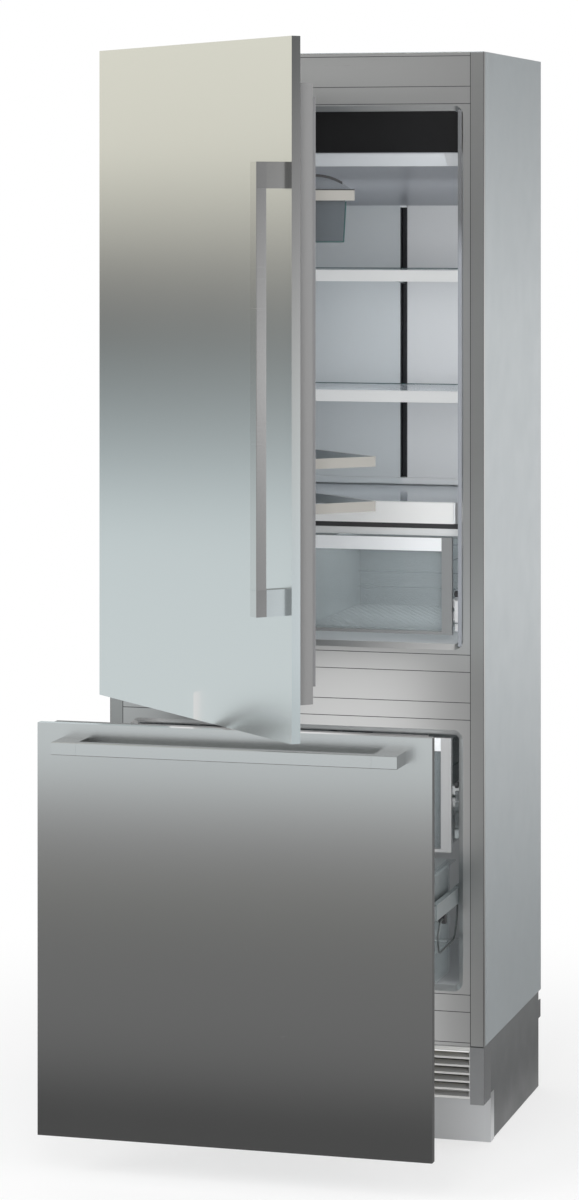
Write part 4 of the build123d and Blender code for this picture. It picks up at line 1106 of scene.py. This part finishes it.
smooth(piece("freezer_fan_guard", "cabinet", wire_steel, fan_guard("evaporator_fan", 15.5)))
smooth(piece("condenser_fan_guard", "cabinet", wire_steel, fan_guard("condenser_fan", 6.0)))
smooth(piece("condenser_bends", "cabinet", copper, coil_bends("condenser")))
smooth(piece("evaporator_bends", "cabinet", copper, coil_bends("evaporator")))
smooth(piece("compressor_pipes", "cabinet", copper, compressor_pipes))
smooth(piece("compressor_cover", "cabinet", tray_dark, compressor_cover))
smooth(piece("back_ribs", "cabinet", zinc_sheet(), back_ribs))
smooth(piece("back_screws", "cabinet", screw_steel, back_screws))


# ------ stage
def stage_quad(name, corners):
    mesh = bpy.data.meshes.new(name)
    mesh.from_pydata([Vector(c) for c in corners], [], [tuple(range(len(corners)))])
    quad = bpy.data.objects.new(name, mesh)
    bpy.context.scene.collection.objects.link(quad)
    return quad


def plain_tree(name):
    """A material with nothing but its output, for the stage."""
    mat = bpy.data.materials.new(name)
    mat.use_nodes = True
    tree = mat.node_tree
    tree.nodes.clear()
    return mat, tree, tree.nodes.new("ShaderNodeOutputMaterial")


def seen_rays(tree):
    """1 for the rays that show the background: camera, glossy and transmission rays."""
    path = tree.nodes.new("ShaderNodeLightPath").outputs
    direct = combine(tree, "ShaderNodeMath", "MAXIMUM", path["Is Camera Ray"], path["Is Glossy Ray"])
    return combine(tree, "ShaderNodeMath", "MAXIMUM", direct, path["Is Transmission Ray"])


WHITE = (1.0, 1.0, 1.0, 1.0)
FLOOR_HALF = 14.0
FLOOR_GREY = (0.93, 0.93, 0.93, 1.0)
FADE_REACH = (0.7, 2.2)
FADE_LEVELS = (0.65, 1.0)


def floor():
    """A floor that shows shadows near the object and turns into plain white further out."""
    low, high = both(FLOOR_HALF)
    quad = stage_quad("floor", [(low, low, 0), (high, low, 0), (high, high, 0), (low, high, 0)])
    mat, tree, out = plain_tree("floor_paint")
    diffuse = add_node(tree, "ShaderNodeBsdfDiffuse", Color=FLOOR_GREY)
    glow = add_node(tree, "ShaderNodeEmission", Color=WHITE)
    where = tree.nodes.new("ShaderNodeTexCoord")
    length = tree.nodes.new("ShaderNodeVectorMath")
    length.operation = "LENGTH"
    tree.links.new(where.outputs["Object"], length.inputs[0])
    (near, far), (dim, full) = FADE_REACH, FADE_LEVELS
    fade = add_node(tree, "ShaderNodeMapRange", From_Min=near, From_Max=far, To_Min=dim, To_Max=full)
    fade.interpolation_type = "SMOOTHSTEP"
    tree.links.new(length.outputs["Value"], fade.inputs["Value"])
    share = combine(tree, "ShaderNodeMath", "MULTIPLY", fade.outputs["Result"], seen_rays(tree))
    mix = tree.nodes.new("ShaderNodeMixShader")
    tree.links.new(share, mix.inputs[0])
    tree.links.new(diffuse.outputs[0], mix.inputs[1])
    tree.links.new(glow.outputs[0], mix.inputs[2])
    tree.links.new(mix.outputs[0], out.inputs["Surface"])
    quad.data.materials.append(mat)


def sky(ambient):
    """A white background that lights the object more weakly than it shows."""
    world = bpy.data.worlds.new("studio")
    bpy.context.scene.world = world
    world.use_nodes = True
    tree = world.node_tree
    back = next(n for n in tree.nodes if n.type == "BACKGROUND")
    back.inputs["Color"].default_value = WHITE
    strength = add_node(tree, "ShaderNodeMapRange", To_Min=ambient, To_Max=1.0)
    tree.links.new(seen_rays(tree), strength.inputs["Value"])
    tree.links.new(strength.outputs["Result"], back.inputs["Strength"])


def card(name, corners, **shades):
    """A studio card that only reflections see; its shades by axis are multiplied."""
    quad = stage_quad(name, corners)
    quad.visible_camera = False
    quad.visible_diffuse = False
    quad.visible_shadow = False
    quad.visible_transmission = False
    quad.visible_volume_scatter = False
    mat, tree, out = plain_tree(name + "_paint")
    glow = tree.nodes.new("ShaderNodeEmission")
    colour = None
    for axis, stops in shades.items():
        shade = ramp(tree, axis, stops)
        if colour is not None:
            shade = combine(tree, "ShaderNodeVectorMath", "MULTIPLY", colour, shade)
        colour = shade
    tree.links.new(colour, glow.inputs["Color"])
    tree.links.new(glow.outputs[0], out.inputs["Surface"])
    quad.data.materials.append(mat)


def lamp(name, place, target, size, power, colour=(1.0, 1.0, 1.0)):
    """A rectangular area lamp that points at a target and isn't seen itself."""
    data = bpy.data.lights.new(name, "AREA")
    data.shape = "RECTANGLE"
    data.size, data.size_y = size
    data.energy = power
    data.color = colour
    light = bpy.data.objects.new(name, data)
    light.location = place
    light.rotation_euler = (Vector(target) - Vector(place)).to_track_quat("-Z", "Y").to_euler()
    light.visible_glossy = False
    light.visible_camera = False
    light.visible_transmission = False
    bpy.context.scene.collection.objects.link(light)


SENSOR = 36.0
PHOTO_HEIGHT = 1200.0
FOCAL_LENGTH = 3630.73
HORIZON_ROW = 202.56
CAMERA_PLACE = (1.91022, -6.81713, 1.8322)
CAMERA_TURN = 15.63


def camera():
    """Level camera at the photograph's angle; the frame is shifted down so that uprights stay upright."""
    data = bpy.data.cameras.new("camera")
    data.sensor_fit = "VERTICAL"
    data.sensor_height = SENSOR
    data.lens = SENSOR * FOCAL_LENGTH / PHOTO_HEIGHT
    data.shift_y = -(PHOTO_HEIGHT / 2 - HORIZON_ROW) / PHOTO_HEIGHT
    data.clip_end = 60.0
    cam = bpy.data.objects.new("camera", data)
    cam.location = CAMERA_PLACE
    cam.rotation_euler = (math.radians(90.0), 0.0, math.radians(CAMERA_TURN))
    bpy.context.scene.collection.objects.link(cam)
    bpy.context.scene.camera = cam


def upright_card(middle, along, width, low, high):
    """Corners of a standing card, its width centred on a point."""
    a = Vector(middle) - Vector(along) * width / 2
    b = Vector(middle) + Vector(along) * width / 2
    return [(a.x, a.y, low), (b.x, b.y, low), (b.x, b.y, high), (a.x, a.y, high)]


def flat_card(x, y, z):
    """Corners of a card that lies level."""
    return [(x[0], y[0], z), (x[1], y[0], z), (x[1], y[1], z), (x[0], y[1], z)]


bpy.context.scene.view_settings.view_transform = "Standard"
camera()
floor()
sky(0.72)
card("left_card", upright_card((-0.96, -0.07, 0), (0.276, 0.961, 0), 3.4, 0.35, 2.75), Z=[
    (0.35, (0.80, 0.86, 0.87)),
    (1.10, (0.84, 0.93, 0.95)),
    (1.28, (0.55, 0.62, 0.64)),
    (1.50, (0.25, 0.275, 0.275)),
    (1.62, (0.285, 0.285, 0.275)),
    (1.75, (0.49, 0.485, 0.44)),
    (1.95, (1.00, 0.98, 0.86)),
    (2.75, (1.06, 1.05, 0.92)),
])
card("front_card", upright_card((-0.30, -0.80, 0), (1.0, 0.0, 0), 2.8, 0.004, 2.5), Z=[
    *grey((0.004, 0.06), (0.063, 0.10), (0.12, 0.17), (0.20, 0.20), (0.33, 0.20)),
    (0.42, (0.22, 0.22, 0.215)),
    (0.50, (0.27, 0.27, 0.26)),
    (0.58, (0.33, 0.33, 0.335)),
    (0.66, (0.52, 0.53, 0.53)),
    (0.74, (0.78, 0.84, 0.86)),
    (0.90, (0.75, 0.78, 0.79)),
    *grey((1.05, 0.40), (2.5, 0.40)),
])
card("gap_card", upright_card((0.15, -0.29, 0), (1.0, 0.0, 0), 0.60, 0.02, 0.91), X=grey(
    (-0.15, 0.98),
    (0.10, 1.0),
    (0.155, 0.97),
    (0.20, 0.70),
    (0.232, 0.44),
    (0.25, 0.39),
    (0.45, 0.39),
), Z=grey((0.02, 0.85), (0.30, 0.85), (0.40, 0.90), (0.50, 1.0), (0.91, 1.0)))
card("side_card", upright_card((1.13, 1.40, 0), (1.0, 0.0, 0), 1.36, 0.004, 2.4), Z=grey(
    (0.004, 0.15),
    (0.30, 0.38),
    (0.60, 0.70),
    (0.90, 1.0),
    (1.30, 1.3),
    (1.60, 1.0),
    (2.10, 0.3),
    (2.4, 0.2),
))
card("front_floor_card", flat_card((-1.6, 1.2), (-0.90, -0.44), 0.003), X=grey((-1.6, 0.10), (1.2, 0.10)))
card("side_floor_card", flat_card((0.45, 2.5), (-1.0, 3.0), 0.003), X=grey((0.45, 0.20), (2.5, 0.20)))
lamp("key", (-2.6, -4.2, 3.4), (0.0, 0.0, 1.2), (2.4, 2.4), 90.0)
lamp("fill", (3.2, -3.4, 2.4), (0.2, 0.2, 1.0), (2.0, 2.6), 40.0)
lamp("front", (0.35, -2.60, 1.75), (0.20, 0.40, 1.50), (0.9, 1.2), 27.0)
# the light of the refrigerator's own lamps
lamp("liner_glow", (0.10, 0.215, 1.55), (0.11, 0.50, 1.55), (0.42, 0.54), 0.80, (0.98, 0.99, 1.0))
lamp("jamb_glow", (-0.05, 0.05, 1.50), (0.33, 0.09, 1.50), (0.05, 0.60), 0.25, (0.97, 0.98, 1.0))
lamp("sill_glow", (0.05, 0.21, 0.990), (0.05, 0.21, 0.90), (0.56, 0.30), 0.12, (0.97, 0.99, 1.0))
lamp("crisper_glow", (0.12, 0.27, 1.17), (0.12, 0.27, 1.0), (0.40, 0.30), 0.40, (0.98, 0.99, 1.0))
lamp("freezer_glow", (0.20, -0.15, 0.72), (0.30, 0.30, 0.66), (0.30, 0.14), 0.20, (0.97, 0.99, 1.0))
